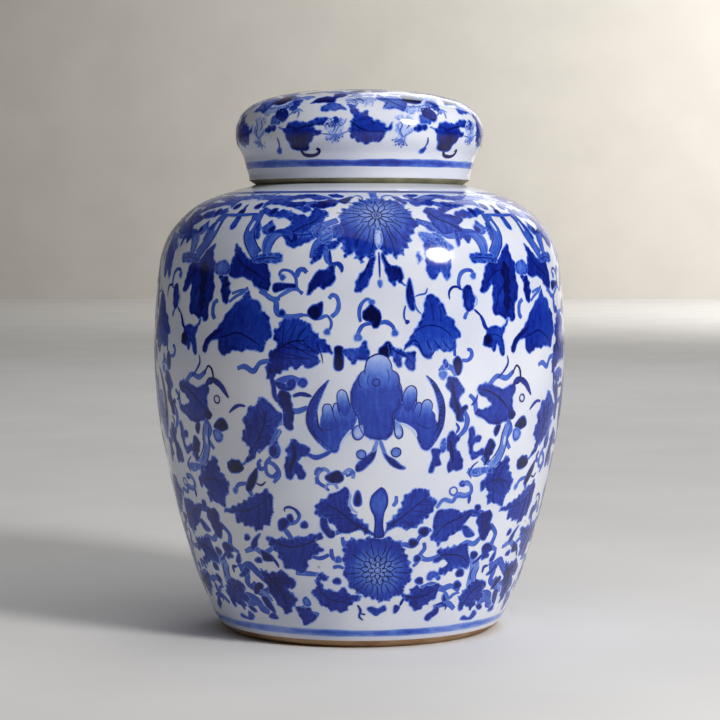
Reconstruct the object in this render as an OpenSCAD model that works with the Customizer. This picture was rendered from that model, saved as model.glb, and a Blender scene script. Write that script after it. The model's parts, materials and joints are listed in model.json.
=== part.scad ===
/* [Jar] */
// Largest radius of the body
body_r = 102; // [90:1:115]
// Height of the flat seat that the lid rests on
seat_z = 219.8; // [200:0.2:240]
// Thickness of the body's wall
wall = 4.6; // [3.5:0.1:6]
// Thickness of the base above the foot's recess
base_t = 5.5; // [4:0.5:8]

/* [Foot] */
// Outer radius of the unglazed face that the jar stands on
foot_r = 65.4; // [62:0.2:66]
// Width of that face
foot_w = 6; // [4:0.5:9]
// Depth of the recess inside the foot ring
recess = 4; // [2:0.5:7]

/* [Neck] */
// Outer radius of the neck that the lid hides
neck_r = 47.2; // [44:0.2:48]
// Thickness of the neck's wall
neck_wall = 4.8; // [4:0.2:6]
// Height of the neck above the seat
neck_h = 24; // [16:1:30]

/* [Lid] */
// Largest radius of the lid
lid_r = 61.4; // [60:0.2:64]
// Height of the lid above the seat
lid_h = 46.9; // [42:0.1:54]
// Thickness of the lid's wall
lid_wall = 5.5; // [4.6:0.1:6.2]
// Outer radius of the lid's rim where it meets the seat
rim_r = 51.1; // [50.8:0.1:52.5]

/* [Quality] */
// Points drawn between two stations of a turned profile
steps = 4; // [2:1:8]

/* [Hidden] */
$fn = 96;
porcelain = [0.90, 0.91, 0.94];

// The body's outer profile from the foot to the seat, each station as
// [share of body_r, share of seat_z]: a long swelling wall, a full round
// shoulder and a nearly level top.
BODY_STATIONS = [
    [0.682, 0.012], [0.716, 0.039], [0.755, 0.082], [0.796, 0.127],
    [0.836, 0.187], [0.882, 0.259], [0.923, 0.341], [0.961, 0.428],
    [0.989, 0.519], [1.000, 0.628], [0.994, 0.719], [0.978, 0.805],
    [0.957, 0.855], [0.916, 0.896], [0.853, 0.930], [0.790, 0.954],
    [0.704, 0.973], [0.604, 0.989], [0.531, 0.998]
];
// The lid's outer profile from the rim to the crown, each station as
// [share of lid_r, share of lid_h]: a straight skirt, a soft waist, a
// bulging edge and a low dome.
LID_STATIONS = [
    [0.892, 0.053], [0.896, 0.107], [0.910, 0.168], [0.925, 0.239],
    [0.938, 0.305], [0.966, 0.373], [0.989, 0.437], [1.000, 0.527],
    [0.993, 0.623], [0.974, 0.689], [0.948, 0.751], [0.902, 0.810],
    [0.852, 0.853], [0.764, 0.898], [0.638, 0.940], [0.423, 0.979],
    [0.000, 1.000]
];

neck_bore = neck_r - neck_wall;
neck_top = seat_z + neck_h;
lip_r = neck_wall / 2;
floor_z = recess + base_t;
floor_fillet = 12;
foot_bevel = 0.8;

function scaled(stations, r, h) = [for (s = stations) [s[0] * r, s[1] * h]];

// A smooth curve through the stations; the points before the first and
// after the last only steer its ends.
function curve_at(a, b, c, d, t) =
    (2 * b + (c - a) * t + (2 * a - 5 * b + 4 * c - d) * t * t
    + (3 * b - a - 3 * c + d) * t * t * t) / 2;
function smooth(s, before, after) =
    let (p = concat([before], s, [after]), last = len(s) - 1)
    concat([for (i = [1:last], k = [0:steps - 1])
        curve_at(p[i - 1], p[i], p[i + 1], p[i + 2], k / steps)], [s[last]]);

// The same curve moved inwards by a wall's thickness.
function inset(p, t) = [for (i = [1:len(p) - 2])
    let (along = p[i + 1] - p[i - 1]) p[i] + t * [-along[1], along[0]] / norm(along)];
function reversed(p) = [for (i = [len(p) - 1:-1:0]) p[i]];
function arc(centre, r, from, to) = [for (k = [0:6])
    let (a = from + (to - from) * k / 6) centre + r * [cos(a), sin(a)]];

body_outer = let (s = scaled(BODY_STATIONS, body_r, seat_z), n = len(s) - 1)
    smooth(s, 2 * s[0] - s[1], 2 * s[n] - s[n - 1]);
body_inner = [for (p = inset(body_outer, wall))
    if (p[1] > floor_z + floor_fillet && p[0] > neck_bore) p];
floor_r = body_inner[0][0] - floor_fillet;

lid_outer = let (s = scaled(LID_STATIONS, lid_r, lid_h), n = len(s) - 1)
    smooth(s, 2 * s[0] - s[1], [-s[n - 1][0], s[n - 1][1]]);
lid_inner = [for (p = inset(lid_outer, lid_wall)) if (p[1] > lid_wall && p[0] > 0) p];

// One fired piece: foot ring, wall, shoulder, seat and neck.
module jar_body() {
    color(porcelain)
        rotate_extrude()
            polygon(concat(
                [[0, recess], [foot_r - foot_w, recess], [foot_r - foot_w, 0], [foot_r, 0],
                 [foot_r + foot_bevel, foot_bevel]],
                body_outer,
                [[neck_r + foot_w, seat_z], [neck_r, seat_z]],
                arc([neck_r - lip_r, neck_top - lip_r], lip_r, 0, 180),
                [[neck_bore, seat_z - wall]],
                reversed(body_inner),
                arc([floor_r, floor_z + floor_fillet], floor_fillet, 0, -90),
                [[0, floor_z]]));
}

// A domed cap whose skirt goes over the neck and whose rim rests on the seat.
module lid() {
    color(porcelain)
        translate([0, 0, seat_z])
            rotate_extrude()
                polygon(concat(
                    [[lid_inner[0][0], 0], [rim_r, 0]],
                    lid_outer,
                    [[0, lid_h - lid_wall]],
                    reversed(lid_inner)));
}

jar_body();
lid();
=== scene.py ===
"""A lidded blue and white porcelain ginger jar, painted under a clear glaze.

The fired pieces are turned forms. The cobalt painting is laid on them as thin painted
pieces: every mark is a wash or a brush line on the unrolled surface, in millimetres
along the surface, and is wrapped onto the turned form by its profile.
"""

import json
import logging
import math
from dataclasses import dataclass, field, replace
from enum import Enum
from typing import Any, ClassVar

import bpy
import numpy as np
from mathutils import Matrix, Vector
from mathutils.geometry import delaunay_2d_cdt


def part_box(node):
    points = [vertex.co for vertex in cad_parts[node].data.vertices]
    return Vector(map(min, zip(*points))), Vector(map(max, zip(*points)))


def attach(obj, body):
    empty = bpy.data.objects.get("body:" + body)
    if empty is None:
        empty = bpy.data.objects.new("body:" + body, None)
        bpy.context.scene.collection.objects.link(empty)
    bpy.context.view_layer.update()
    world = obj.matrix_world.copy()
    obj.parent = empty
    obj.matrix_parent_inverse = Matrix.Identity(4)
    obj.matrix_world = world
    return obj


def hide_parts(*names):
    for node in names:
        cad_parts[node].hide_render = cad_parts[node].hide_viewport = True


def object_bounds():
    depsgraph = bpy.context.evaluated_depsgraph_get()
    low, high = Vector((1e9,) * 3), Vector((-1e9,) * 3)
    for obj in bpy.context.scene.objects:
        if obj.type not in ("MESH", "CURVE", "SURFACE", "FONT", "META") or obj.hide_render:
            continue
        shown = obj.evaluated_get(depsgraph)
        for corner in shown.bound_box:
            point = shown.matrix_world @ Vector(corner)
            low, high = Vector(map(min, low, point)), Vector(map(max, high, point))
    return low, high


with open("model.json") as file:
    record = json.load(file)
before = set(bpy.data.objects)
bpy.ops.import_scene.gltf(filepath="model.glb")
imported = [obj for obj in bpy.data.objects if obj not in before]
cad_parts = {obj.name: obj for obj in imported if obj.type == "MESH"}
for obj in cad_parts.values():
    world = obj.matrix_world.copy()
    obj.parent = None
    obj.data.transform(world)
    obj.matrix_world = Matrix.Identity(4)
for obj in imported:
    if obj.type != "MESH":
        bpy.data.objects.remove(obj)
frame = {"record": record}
cad_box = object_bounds()

LOG = logging.getLogger("ginger_jar")
MM = 0.001
BODY_REPEATS = 4
LID_REPEATS = 5
PANEL_TURN = 5.2
LID_TURN = 5.2

# (share of the largest radius, share of the height) up each outer line.
BODY_STATIONS = (
    (0.682, 0.012), (0.716, 0.039), (0.755, 0.082), (0.796, 0.127), (0.836, 0.187), (0.882, 0.259),
    (0.923, 0.341), (0.961, 0.428), (0.989, 0.519), (1.000, 0.628), (0.994, 0.719), (0.978, 0.805),
    (0.957, 0.855), (0.916, 0.896), (0.853, 0.930), (0.790, 0.954), (0.704, 0.973), (0.604, 0.989),
    (0.531, 0.998),
)
LID_STATIONS = (
    (0.892, 0.053), (0.896, 0.107), (0.910, 0.168), (0.925, 0.239), (0.938, 0.305), (0.966, 0.373),
    (0.989, 0.437), (1.000, 0.527), (0.993, 0.623), (0.974, 0.689), (0.948, 0.751), (0.902, 0.810),
    (0.852, 0.853), (0.764, 0.898), (0.638, 0.940), (0.423, 0.979), (0.000, 1.000),
)
BLEED = 0.62  # share of the cobalt left at the very edge of a wash
OUTLINE_STEP = 0.95  # spacing of the points round a wash
LOBED_AREA = 45  # washes larger than this get small lobes round the edge
LOBE_DEPTH = 0.4
MARK_RISE = 0.0003  # each mark lies this much above the one before it
BRISTLE_SCALE = 0.1  # from millimetres to the scale of the bristle texture
GLASSY = 0.07  # roughness of the clear glaze

Point = tuple[float, ...]
Path = list[Point]


class Tone(float, Enum):
    """How much cobalt a mark carries, from a bare tint to ink."""

    TINT = 0.13
    PALE = 0.24
    LIGHT = 0.38
    SOFT = 0.48
    MID = 0.60
    FULL = 0.70
    DEEP = 0.80
    INK = 0.97


class Layer(float, Enum):
    """Height of a mark above the fired surface, in millimetres."""

    HALO = 0.030
    UNDER = 0.050
    WASH = 0.075
    PATCH = 0.095
    OVER = 0.115
    LINE = 0.145
    TOP = 0.175


# ---------------------------------------------------------------- turned forms


@dataclass
class TurnedProfile:
    """The outer line of a turned piece, measured along the surface in millimetres.

    Args:
        stations: (share of the largest radius, share of the height) up the outer line.
        radius: largest radius.
        height: height that the shares refer to.
        base: height of share zero.
        closed_top: whether the line ends level on the axis.
    """

    stations: tuple[tuple[float, float], ...]
    radius: float
    height: float
    base: float = 0.0
    closed_top: bool = False
    length: float = field(init=False)

    def __post_init__(self) -> None:
        """Samples the smooth line through the stations."""
        pts = [(a * self.radius, self.base + b * self.height) for a, b in self.stations]
        first = (2 * pts[0][0] - pts[1][0], 2 * pts[0][1] - pts[1][1])
        if self.closed_top:
            last = (-pts[-2][0], pts[-2][1])
        else:
            last = (2 * pts[-1][0] - pts[-2][0], 2 * pts[-1][1] - pts[-2][1])
        ring = np.array([first, *pts, last])
        t = np.linspace(0, 1, 16, endpoint=False)[:, None]
        spans = []
        for a, b, c, d in zip(ring, ring[1:], ring[2:], ring[3:]):
            cubic = (3 * b - a - 3 * c + d) * t**3
            spans.append((2 * b + (c - a) * t + (2 * a - 5 * b + 4 * c - d) * t**2 + cubic) / 2)
        line = np.vstack([*spans, ring[-2:-1]])
        steps = np.hypot(*np.diff(line, axis=0).T)
        self._s = np.concatenate([[0.0], np.cumsum(steps)])
        self._line = line
        self.length = float(self._s[-1])
        slope = np.gradient(line, self._s, axis=0)
        for _ in range(6):
            slope[1:-1] = (slope[:-2] + slope[1:-1] + slope[2:]) / 3
        self._slope = slope / np.linalg.norm(slope, axis=1)[:, None]

    def at(self, s: np.ndarray) -> tuple[np.ndarray, np.ndarray]:
        """Finds the radius and height at a distance along the line.

        Args:
            s: distances from the start of the line.

        Returns:
            Radii and heights.
        """
        return np.interp(s, self._s, self._line[:, 0]), np.interp(s, self._s, self._line[:, 1])

    def normal(self, s: np.ndarray) -> tuple[np.ndarray, np.ndarray]:
        """Finds the outward normal's radial and vertical parts at a distance along the line.

        Args:
            s: distances from the start of the line.

        Returns:
            Radial and vertical parts, as unit vectors.
        """
        out = np.interp(s, self._s, self._slope[:, 1])
        up = -np.interp(s, self._s, self._slope[:, 0])
        size = np.hypot(out, up)
        return out / size, up / size

    def distance(self, z: float) -> float:
        """Returns the distance along the line to a height on the way up."""
        return float(np.interp(z, self._line[:, 1], self._s))


def on_surface(
    profile: TurnedProfile, s: np.ndarray, angle: np.ndarray, lift: float | np.ndarray
) -> tuple[np.ndarray, np.ndarray]:
    """Finds points on a turned form.

    Args:
        profile: the form's outer line.
        s: distances along the line.
        angle: angles from the front towards the right, in radians.
        lift: heights above the fired surface.

    Returns:
        Points in metres, and their outward normals.
    """
    r, z = profile.at(s)
    out, up = profile.normal(s)
    r, z = r + out * lift, z + up * lift
    side, front = np.sin(angle), -np.cos(angle)
    points = np.stack([r * side, r * front, z], -1).reshape(-1, 3) * MM
    return points, np.stack([out * side, out * front, up], -1).reshape(-1, 3)


@dataclass(frozen=True)
class Wrap:
    """Wraps flat painting onto a turned form.

    Args:
        profile: the turned form's outer line.
        turn: angle of the painting's middle, in degrees from the front towards the right.
        crown: whether the painting lies flat on the crown, measured from the axis.
        grid: spacing of the points inside a wash.
    """

    profile: TurnedProfile
    turn: float = 0.0
    crown: bool = False
    grid: float = 2.0

    def place(self, flat: np.ndarray, lift: np.ndarray) -> tuple[np.ndarray, np.ndarray]:
        """Wraps flat points.

        Args:
            flat: points on the flat painting.
            lift: height of each point above the fired surface.

        Returns:
            Points in metres, and their outward normals.
        """
        if self.crown:
            s = self.profile.length - np.hypot(flat[:, 0], flat[:, 1])
            angle = np.arctan2(flat[:, 0], -flat[:, 1])
        else:
            s = flat[:, 1]
            angle = flat[:, 0] / self.profile.at(s)[0]
        return on_surface(self.profile, s, angle + math.radians(self.turn), lift)


# ---------------------------------------------------------------- brush marks


def spline(path: Path, closed: bool, step: float) -> np.ndarray:
    """Draws a smooth curve through given points.

    A third value on a point says how round the curve is there: 1 is smooth and 0 is a
    sharp tip.

    Args:
        path: the points.
        closed: whether the curve returns to its start.
        step: distance between drawn points.

    Returns:
        Points along the curve.
    """
    pts = np.array([p[:2] for p in path], float)
    soft = np.array([p[2] if len(p) > 2 else 1.0 for p in path])
    n = len(pts)
    spans = range(n if closed else n - 1)
    prev, after = np.roll(pts, 1, axis=0), np.roll(pts, -1, axis=0)
    if not closed:
        prev[0], after[-1] = pts[0], pts[-1]
    back = np.linalg.norm(pts - prev, axis=1)
    ahead = np.linalg.norm(after - pts, axis=1)
    tangent = (after - prev) / np.maximum(back + ahead, 1e-6)[:, None] * soft[:, None]
    drawn = []
    for i in spans:
        j = (i + 1) % n
        reach = np.linalg.norm(pts[j] - pts[i])
        count = max(2, int(math.ceil(reach / step)))
        t = (np.arange(count) / count)[:, None]
        drawn.append(
            (2 * t**3 - 3 * t**2 + 1) * pts[i]
            + (t**3 - 2 * t**2 + t) * reach * tangent[i]
            + (3 * t**2 - 2 * t**3) * pts[j]
            + (t**3 - t**2) * reach * tangent[j]
        )
    if not closed:
        drawn.append(pts[-1:])
    return np.vstack(drawn)


def trace(text: str) -> Path:
    """Reads listed points.

    Args:
        text: "x y" pairs between commas, with a third number where the curve isn't round.

    Returns:
        The points.
    """
    return [tuple(float(part) for part in pair.split()) for pair in text.split(",")]


def edge_distance(points: np.ndarray, outline: np.ndarray) -> np.ndarray:
    """Measures how far points lie from a closed outline.

    Args:
        points: flat points.
        outline: points round the outline.

    Returns:
        A distance for each point.
    """
    a, b = outline, np.roll(outline, -1, axis=0)
    along = b - a
    size = np.maximum((along**2).sum(1), 1e-9)
    t = ((points[:, None] - a) * along).sum(2) / size
    near = a + np.clip(t, 0, 1)[..., None] * along
    return np.sqrt(((points[:, None] - near) ** 2).sum(2).min(1))


def inside(points: np.ndarray, outline: np.ndarray) -> np.ndarray:
    """Tells which points lie inside a closed outline.

    Args:
        points: flat points.
        outline: points round the outline.

    Returns:
        True for each point that is inside.
    """
    a, b = outline, np.roll(outline, -1, axis=0)
    y = points[:, 1][:, None]
    crosses = (a[:, 1] > y) != (b[:, 1] > y)
    rise = np.where(b[:, 1] == a[:, 1], 1e-9, b[:, 1] - a[:, 1])
    at = a[:, 0] + (y - a[:, 1]) / rise * (b[:, 0] - a[:, 0])
    return (crosses & (points[:, 0][:, None] < at)).sum(1) % 2 == 1


def wavy(count: int, seed: float, reach: float) -> np.ndarray:
    """Makes the slow wander of a hand-held brush.

    Args:
        count: number of places along the stroke.
        seed: where the wander starts.
        reach: greatest share that the brush strays by.

    Returns:
        Factors about one.
    """
    k = np.arange(count)
    slow = np.sin(k * 0.37 + seed) + 0.6 * np.sin(k * 0.83 + 2.1 * seed)
    return 1 + reach * slow / 1.6


def area(curve: np.ndarray) -> float:
    """Returns the signed area of a closed outline."""
    after = np.roll(curve, -1, axis=0)
    return float((curve[:, 0] * after[:, 1] - after[:, 0] * curve[:, 1]).sum() / 2)


def sideways(curve: np.ndarray) -> np.ndarray:
    """Finds the unit directions across a closed outline, to the right of its way round.

    Args:
        curve: points round the outline.

    Returns:
        A direction for each point.
    """
    side = np.roll(curve, -1, axis=0) - np.roll(curve, 1, axis=0)
    side = np.column_stack([side[:, 1], -side[:, 0]])
    return side / np.maximum(np.linalg.norm(side, axis=1), 1e-6)[:, None]


@dataclass
class Sheet:
    """Triangles of flat painting, with the cobalt each point carries."""

    points: list[np.ndarray] = field(default_factory=list)
    tones: list[np.ndarray] = field(default_factory=list)
    lifts: list[np.ndarray] = field(default_factory=list)
    grain: list[np.ndarray] = field(default_factory=list)
    faces: list[tuple[int, ...]] = field(default_factory=list)
    count: int = 0

    def add(
        self, points: np.ndarray, tones: np.ndarray, lift: float | np.ndarray, angle: float, faces: list
    ) -> None:
        """Adds a mark's triangles.

        Args:
            points: flat points.
            tones: cobalt at each point.
            lift: height above the fired surface, for all points or for each.
            angle: direction of the brush's bristles, in degrees.
            faces: corners of each face, from zero.
        """
        c, s = math.cos(math.radians(angle)), math.sin(math.radians(angle))
        self.points.append(points)
        self.tones.append(tones)
        self.lifts.append(np.broadcast_to(np.asarray(lift, float) + MARK_RISE * len(self.lifts), len(points)))
        turned = np.column_stack([points @ (c, s), points @ (-s, c)])
        self.grain.append(turned)
        self.faces += [tuple(self.count + int(i) for i in f) for f in faces]
        self.count += len(points)


@dataclass(frozen=True)
class Wash:
    """A filled patch of cobalt with a pooled edge.

    Args:
        outline: points round the patch.
        tone: cobalt in the patch.
        fade: a line (x, y, x, y) that the tone changes along, or None.
        fade_to: cobalt at the far end of that line.
        rim: cobalt added where the wash pools along its edge.
        core: (x, y, reach, cobalt) of a rounder change about a point, or None.
        layer: how high the mark lies.
        grain: direction of the brush's bristles, in degrees.
        ragged: depth of the small lobes all round the edge.
        halo: width of the soft fringe outside the edge.
    """

    outline: Path
    tone: float = Tone.MID
    fade: tuple[float, float, float, float] | None = None
    fade_to: float = Tone.MID
    rim: float = 0.13
    core: tuple[float, float, float, float] | None = None
    layer: float = Layer.WASH
    grain: float = 90.0
    ragged: float = 0.0
    halo: float = 0.7

    def tone_at(self, points: np.ndarray) -> np.ndarray:
        """Works out the cobalt at flat points, before the pooled edge.

        Args:
            points: flat points.

        Returns:
            The cobalt at each point.
        """
        tones = np.full(len(points), float(self.tone))
        if self.fade:
            start, end = np.array(self.fade[:2]), np.array(self.fade[2:])
            along = end - start
            share = np.clip((points - start) @ along / (along @ along), 0, 1)
            tones = tones + (float(self.fade_to) - tones) * share
        if self.core:
            gap = np.hypot(points[:, 0] - self.core[0], points[:, 1] - self.core[1])
            share = np.clip(gap / self.core[2], 0, 1) ** 1.4
            tones = self.core[3] + (tones - self.core[3]) * share
        return tones

    def line(self) -> np.ndarray:
        """Draws the outline, with small lobes round its edge.

        Returns:
            Points round the outline.
        """
        curve = spline(self.outline, True, OUTLINE_STEP)
        depth = self.ragged
        if not depth and self.layer <= Layer.WASH and abs(area(curve)) > LOBED_AREA:
            depth = LOBE_DEPTH
        if depth:
            run = np.cumsum(np.hypot(*(np.roll(curve, -1, axis=0) - curve).T))
            lobe = 1.1 - 1.5 * np.abs(np.sin(run * 0.62 + 1.5 * np.sin(run * 0.17 + curve[0, 0])))
            lobe = lobe + 0.5 * np.abs(np.sin(run * 1.9)) - 0.5
            curve = curve + sideways(curve) * (np.sign(area(curve)) * depth * lobe)[:, None]
        return curve

    def paint(self, sheet: Sheet, grid: float) -> None:
        """Adds the wash to a sheet.

        Args:
            sheet: the sheet to add to.
            grid: spacing of the points inside the patch.
        """
        curve = self.line()
        low, high = curve.min(0), curve.max(0)
        xs = np.arange(low[0], high[0], grid)
        ys = np.arange(low[1], high[1], grid * 0.866)
        x, y = np.meshgrid(xs, ys)
        x = x + (np.arange(len(ys)) % 2)[:, None] * grid / 2
        fill = np.column_stack([x.ravel(), y.ravel()])
        side = sideways(curve) * (-1.0 if area(curve) > 0 else 1.0)
        near = curve[::2] + side[::2] * 0.55
        far = curve[::2] + side[::2] * 1.25
        kept = []
        for points, gap in ((near, 0.45), (far, 1.1), (fill, 1.6)):
            points = points[inside(points, curve)]
            if len(points):
                kept.append(points[edge_distance(points, curve) > gap])
        every = np.vstack([curve, *kept])
        ring = [(i, (i + 1) % len(curve)) for i in range(len(curve))]
        made = delaunay_2d_cdt([Vector(p) for p in every], ring, [], 1, 1e-5, False)
        points = np.array([v[:] for v in made[0]])
        corners = np.array(made[2])
        faces = corners[inside(points[corners].mean(1), curve)].tolist()
        gap = edge_distance(points, curve)
        tones = self.tone_at(points) + self.rim * np.exp(-(((gap - 0.55) / 0.5) ** 2))
        if self.layer > Layer.WASH:
            sheet.add(points, np.clip(tones, 0, 1), self.layer, self.grain, faces)
            return
        tones = tones * np.where(gap < 0.1, BLEED, 1.0)
        sheet.add(points, np.clip(tones, 0, 1), self.layer, self.grain, faces)
        self.bleed(sheet, curve, side)

    def bleed(self, sheet: Sheet, curve: np.ndarray, side: np.ndarray) -> None:
        """Adds the soft fringe where cobalt has run into the glaze.

        Args:
            sheet: the sheet to add to.
            curve: the drawn outline.
            side: directions into the wash at the outline's points.
        """
        n = len(curve)
        reach = self.halo * wavy(n, curve[0, 0], 0.4)[:, None]
        strip = np.vstack([curve + side * 0.1, curve - side * reach * 0.45, curve - side * reach])
        edge = self.tone_at(curve) * BLEED
        tones = np.concatenate([edge, edge * 0.55, np.full(n, 0.03)])
        lifts = np.repeat([float(self.layer) - 0.004, float(Layer.HALO), float(Layer.HALO) - 0.01], n)
        faces = [(r * n + i, r * n + (i + 1) % n, (r + 1) * n + (i + 1) % n, (r + 1) * n + i)
                 for r in (0, 1) for i in range(n)]
        sheet.add(strip, np.clip(tones, 0, 1), lifts, self.grain, faces)


@dataclass(frozen=True)
class Line:
    """One pull of the brush.

    Args:
        path: points along the stroke.
        width: greatest width.
        tone: cobalt in the stroke.
        tail: share of the width left at the start and at the end.
        layer: how high the mark lies.
        blob: radius of a round end, or 0.
        fringe: cobalt at the stroke's sides, as a share of its tone.
    """

    path: Path
    width: float = 0.7
    tone: float = Tone.DEEP
    tail: tuple[float, float] = (0.45, 0.25)
    layer: float = Layer.LINE
    blob: float = 0.0
    fringe: float = 0.8

    def paint(self, sheet: Sheet, grid: float) -> None:
        """Adds the stroke to a sheet.

        Args:
            sheet: the sheet to add to.
            grid: spacing of the points on the wider marks.
        """
        curve = spline(self.path, False, min(0.8, grid))
        n = len(curve)
        along = np.gradient(curve, axis=0)
        along /= np.maximum(np.linalg.norm(along, axis=1), 1e-6)[:, None]
        side = np.column_stack([-along[:, 1], along[:, 0]])
        t = np.linspace(0, 1, n)
        swell = np.sin(math.pi * t) ** 0.6
        ends = self.tail[0] + (self.tail[1] - self.tail[0]) * t
        half = self.width / 2 * (ends + (1 - ends) * swell)
        half = half * wavy(n, curve[0, 0] + curve[0, 1], 0.12)
        rows = np.array([-1.0, -0.5, 0.5, 1.0])
        points = (curve[:, None] + side[:, None] * (rows[:, None] * half[:, None, None])).reshape(-1, 2)
        edge = np.where(np.abs(rows) > 0.9, self.fringe, 1.0)
        tones = np.tile(edge, n) * float(self.tone)
        faces = []
        for i in range(n - 1):
            for k in range(3):
                a = i * 4 + k
                faces.append((a, a + 4, a + 5, a + 1))
        angle = math.degrees(math.atan2(*(curve[-1] - curve[0])[::-1]))
        sheet.add(points, np.clip(tones, 0, 1), self.layer, angle, faces)
        if self.blob:
            spot(*self.path[-1][:2], self.blob, tone=self.tone, layer=self.layer).paint(sheet, grid)


Mark = Wash | Line
Drawing = tuple[Mark, ...]


def spot(
    x: float,
    y: float,
    wide: float,
    tall: float | None = None,
    lean: float = 0.0,
    tone: float = Tone.INK,
    layer: float = Layer.WASH,
) -> Wash:
    """Makes a round or oval dab.

    Args:
        x: middle of the dab.
        y: middle of the dab.
        wide: half its width.
        tall: half its height, or None for a round dab.
        lean: turn of the dab, in degrees.
        tone: cobalt in the dab.
        layer: how high the mark lies.

    Returns:
        The dab.
    """
    tall = wide if tall is None else tall
    c, s = math.cos(math.radians(lean)), math.sin(math.radians(lean))
    swell = [1 + 0.10 * math.sin(2.3 * k + x + y) for k in range(8)]
    ring = [(wide * swell[k] * math.cos(k * math.pi / 4), tall * swell[k] * math.sin(k * math.pi / 4))
            for k in range(8)]
    dab = [(x + c * a - s * b, y + s * a + c * b) for a, b in ring]
    return Wash(dab, float(tone) * 0.95, layer=layer, rim=-0.16 if tone > 0.6 else 0.06)


def vine(text: str, width: float = 1.6, blob: float = 0.0, tone: float = 0.47) -> Line:
    """Returns a soft, pale tendril through given points, which may end in a dot."""
    return Line(trace(text), width * 1.2, tone, (0.8, 0.7), Layer.UNDER, blob, 1.1)


def wash(text: str, *args: Any, **more: Any) -> Wash:
    """Returns a wash inside given points; the other values are the wash's own."""
    return Wash(trace(text), *args, **more)


def stroke(text: str, *args: Any, **more: Any) -> Line:
    """Returns a stroke along given points; the other values are the stroke's own."""
    return Line(trace(text), *args, **more)


def petals(x: float, y: float, near: float, far: float, count: int) -> list[Mark]:
    """Draws a ring of petal outlines about a flower's middle.

    Args:
        x: middle of the flower.
        y: middle of the flower.
        near: distance from the middle to the petals' roots.
        far: distance to their tips.
        count: number of petals.

    Returns:
        The petals' strokes.
    """
    made: list[Mark] = []
    for k in range(count):
        a, half = k * math.tau / count, 0.85 * math.pi / count
        spots = ((near, -0.8), ((near + far) / 2, -1.0), (far, 0.0), ((near + far) / 2, 1.0), (near, 0.8))
        path = [(x + r * math.sin(a + h * half), y + r * math.cos(a + h * half)) for r, h in spots]
        made.append(Line(path, 0.5, Tone.INK, (0.9, 0.9)))
    return made


def ribbed(wash: Wash, rib: Path, ink: float = 0.15) -> list[Mark]:
    """Dresses a leaf: ragged edge, a rib and fine veins that fan out from it.

    Args:
        wash: the leaf's wash.
        rib: the middle rib.
        ink: cobalt that the veins add to the leaf's own.

    Returns:
        The leaf's marks.
    """
    leaf = replace(wash, ragged=0.85)
    outline = leaf.line()
    curve = spline(rib, False, 0.5)
    along = np.gradient(curve, axis=0)
    along /= np.linalg.norm(along, axis=1)[:, None]
    count = max(3, int(len(curve) * 0.5 / 3.6))
    tone = min(0.95, float(wash.tone) + ink)
    marks: list[Mark] = [leaf, Line(rib, 0.8, Tone.INK)]
    for k in range(count):
        i = int((k + 0.4) / count * (len(curve) - 1))
        for hand in (-1, 1):
            lean = math.radians(hand * (56 - 22 * k / count + 7 * math.sin(3 * k + hand)))
            c, s = math.cos(lean), math.sin(lean)
            way = np.array([along[i, 0] * c - along[i, 1] * s, along[i, 0] * s + along[i, 1] * c])
            steps = curve[i] + np.arange(0.2, 18, 0.7)[:, None] * way
            steps = steps + along[i] * (np.arange(len(steps))[:, None] * 0.03) ** 2
            held = np.cumprod(inside(steps, outline)).astype(bool)
            steps = steps[held][:-1]
            if len(steps) > 3:
                marks.append(Line([tuple(p) for p in steps[::3]], 0.42, tone, (0.9, 0.35)))
    return marks


def ring(x: float, y: float, radius: float, width: float = 0.5, tone: float = Tone.DEEP) -> Line:
    """Draws a small circle.

    Args:
        x: middle of the circle.
        y: middle of the circle.
        radius: its radius.
        width: width of the stroke.
        tone: cobalt in the stroke.

    Returns:
        The stroke.
    """
    turn = [math.radians(k * 45) for k in range(9)]
    path = [(x + radius * math.sin(a), y + radius * math.cos(a)) for a in turn]
    return Line(path, width, tone, (0.9, 0.9), Layer.TOP)


def mirrored(marks: list[Mark]) -> list[Mark]:
    """Flips marks left to right.

    Args:
        marks: the marks.

    Returns:
        The flipped marks.
    """
    flipped = []
    for mark in marks:
        if isinstance(mark, Line):
            flipped.append(replace(mark, path=[(-p[0], *p[1:]) for p in mark.path]))
        else:
            fade = mark.fade and (-mark.fade[0], mark.fade[1], -mark.fade[2], mark.fade[3])
            core = mark.core and (-mark.core[0], *mark.core[1:])
            flipped.append(
                replace(mark, outline=[(-p[0], *p[1:]) for p in mark.outline], fade=fade, core=core)
            )
    return flipped


# ---------------------------------------------------------------- finishes

Color = tuple[float, float, float]
Term = bpy.types.NodeSocket | float | None


def new_group(name: str, inputs: dict[str, float], outputs: dict[str, str]) -> bpy.types.NodeTree:
    """Starts a shader node group.

    Args:
        name: the group's name.
        inputs: number inputs and their usual values.
        outputs: output names and their socket types.

    Returns:
        The group, with its input and output nodes.
    """
    tree = bpy.data.node_groups.new(name, "ShaderNodeTree")
    for label, value in inputs.items():
        socket = tree.interface.new_socket(label, in_out="INPUT", socket_type="NodeSocketFloat")
        socket.default_value = value
    for label, kind in outputs.items():
        tree.interface.new_socket(label, in_out="OUTPUT", socket_type=kind)
    tree.nodes.new("NodeGroupInput").name = "In"
    tree.nodes.new("NodeGroupOutput").name = "Out"
    return tree


def noise(
    tree: bpy.types.NodeTree, vector: bpy.types.NodeSocket, scale: float, detail: float = 3.0
) -> bpy.types.NodeSocket:
    """Adds a noise texture.

    Args:
        tree: the node tree.
        vector: where the texture's coordinates come from.
        scale: the texture's scale.
        detail: octaves of detail.

    Returns:
        The noise node's value socket.
    """
    node = tree.nodes.new("ShaderNodeTexNoise")
    node.inputs["Scale"].default_value = scale
    node.inputs["Detail"].default_value = detail
    tree.links.new(vector, node.inputs["Vector"])
    return node.outputs["Fac"]


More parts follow.
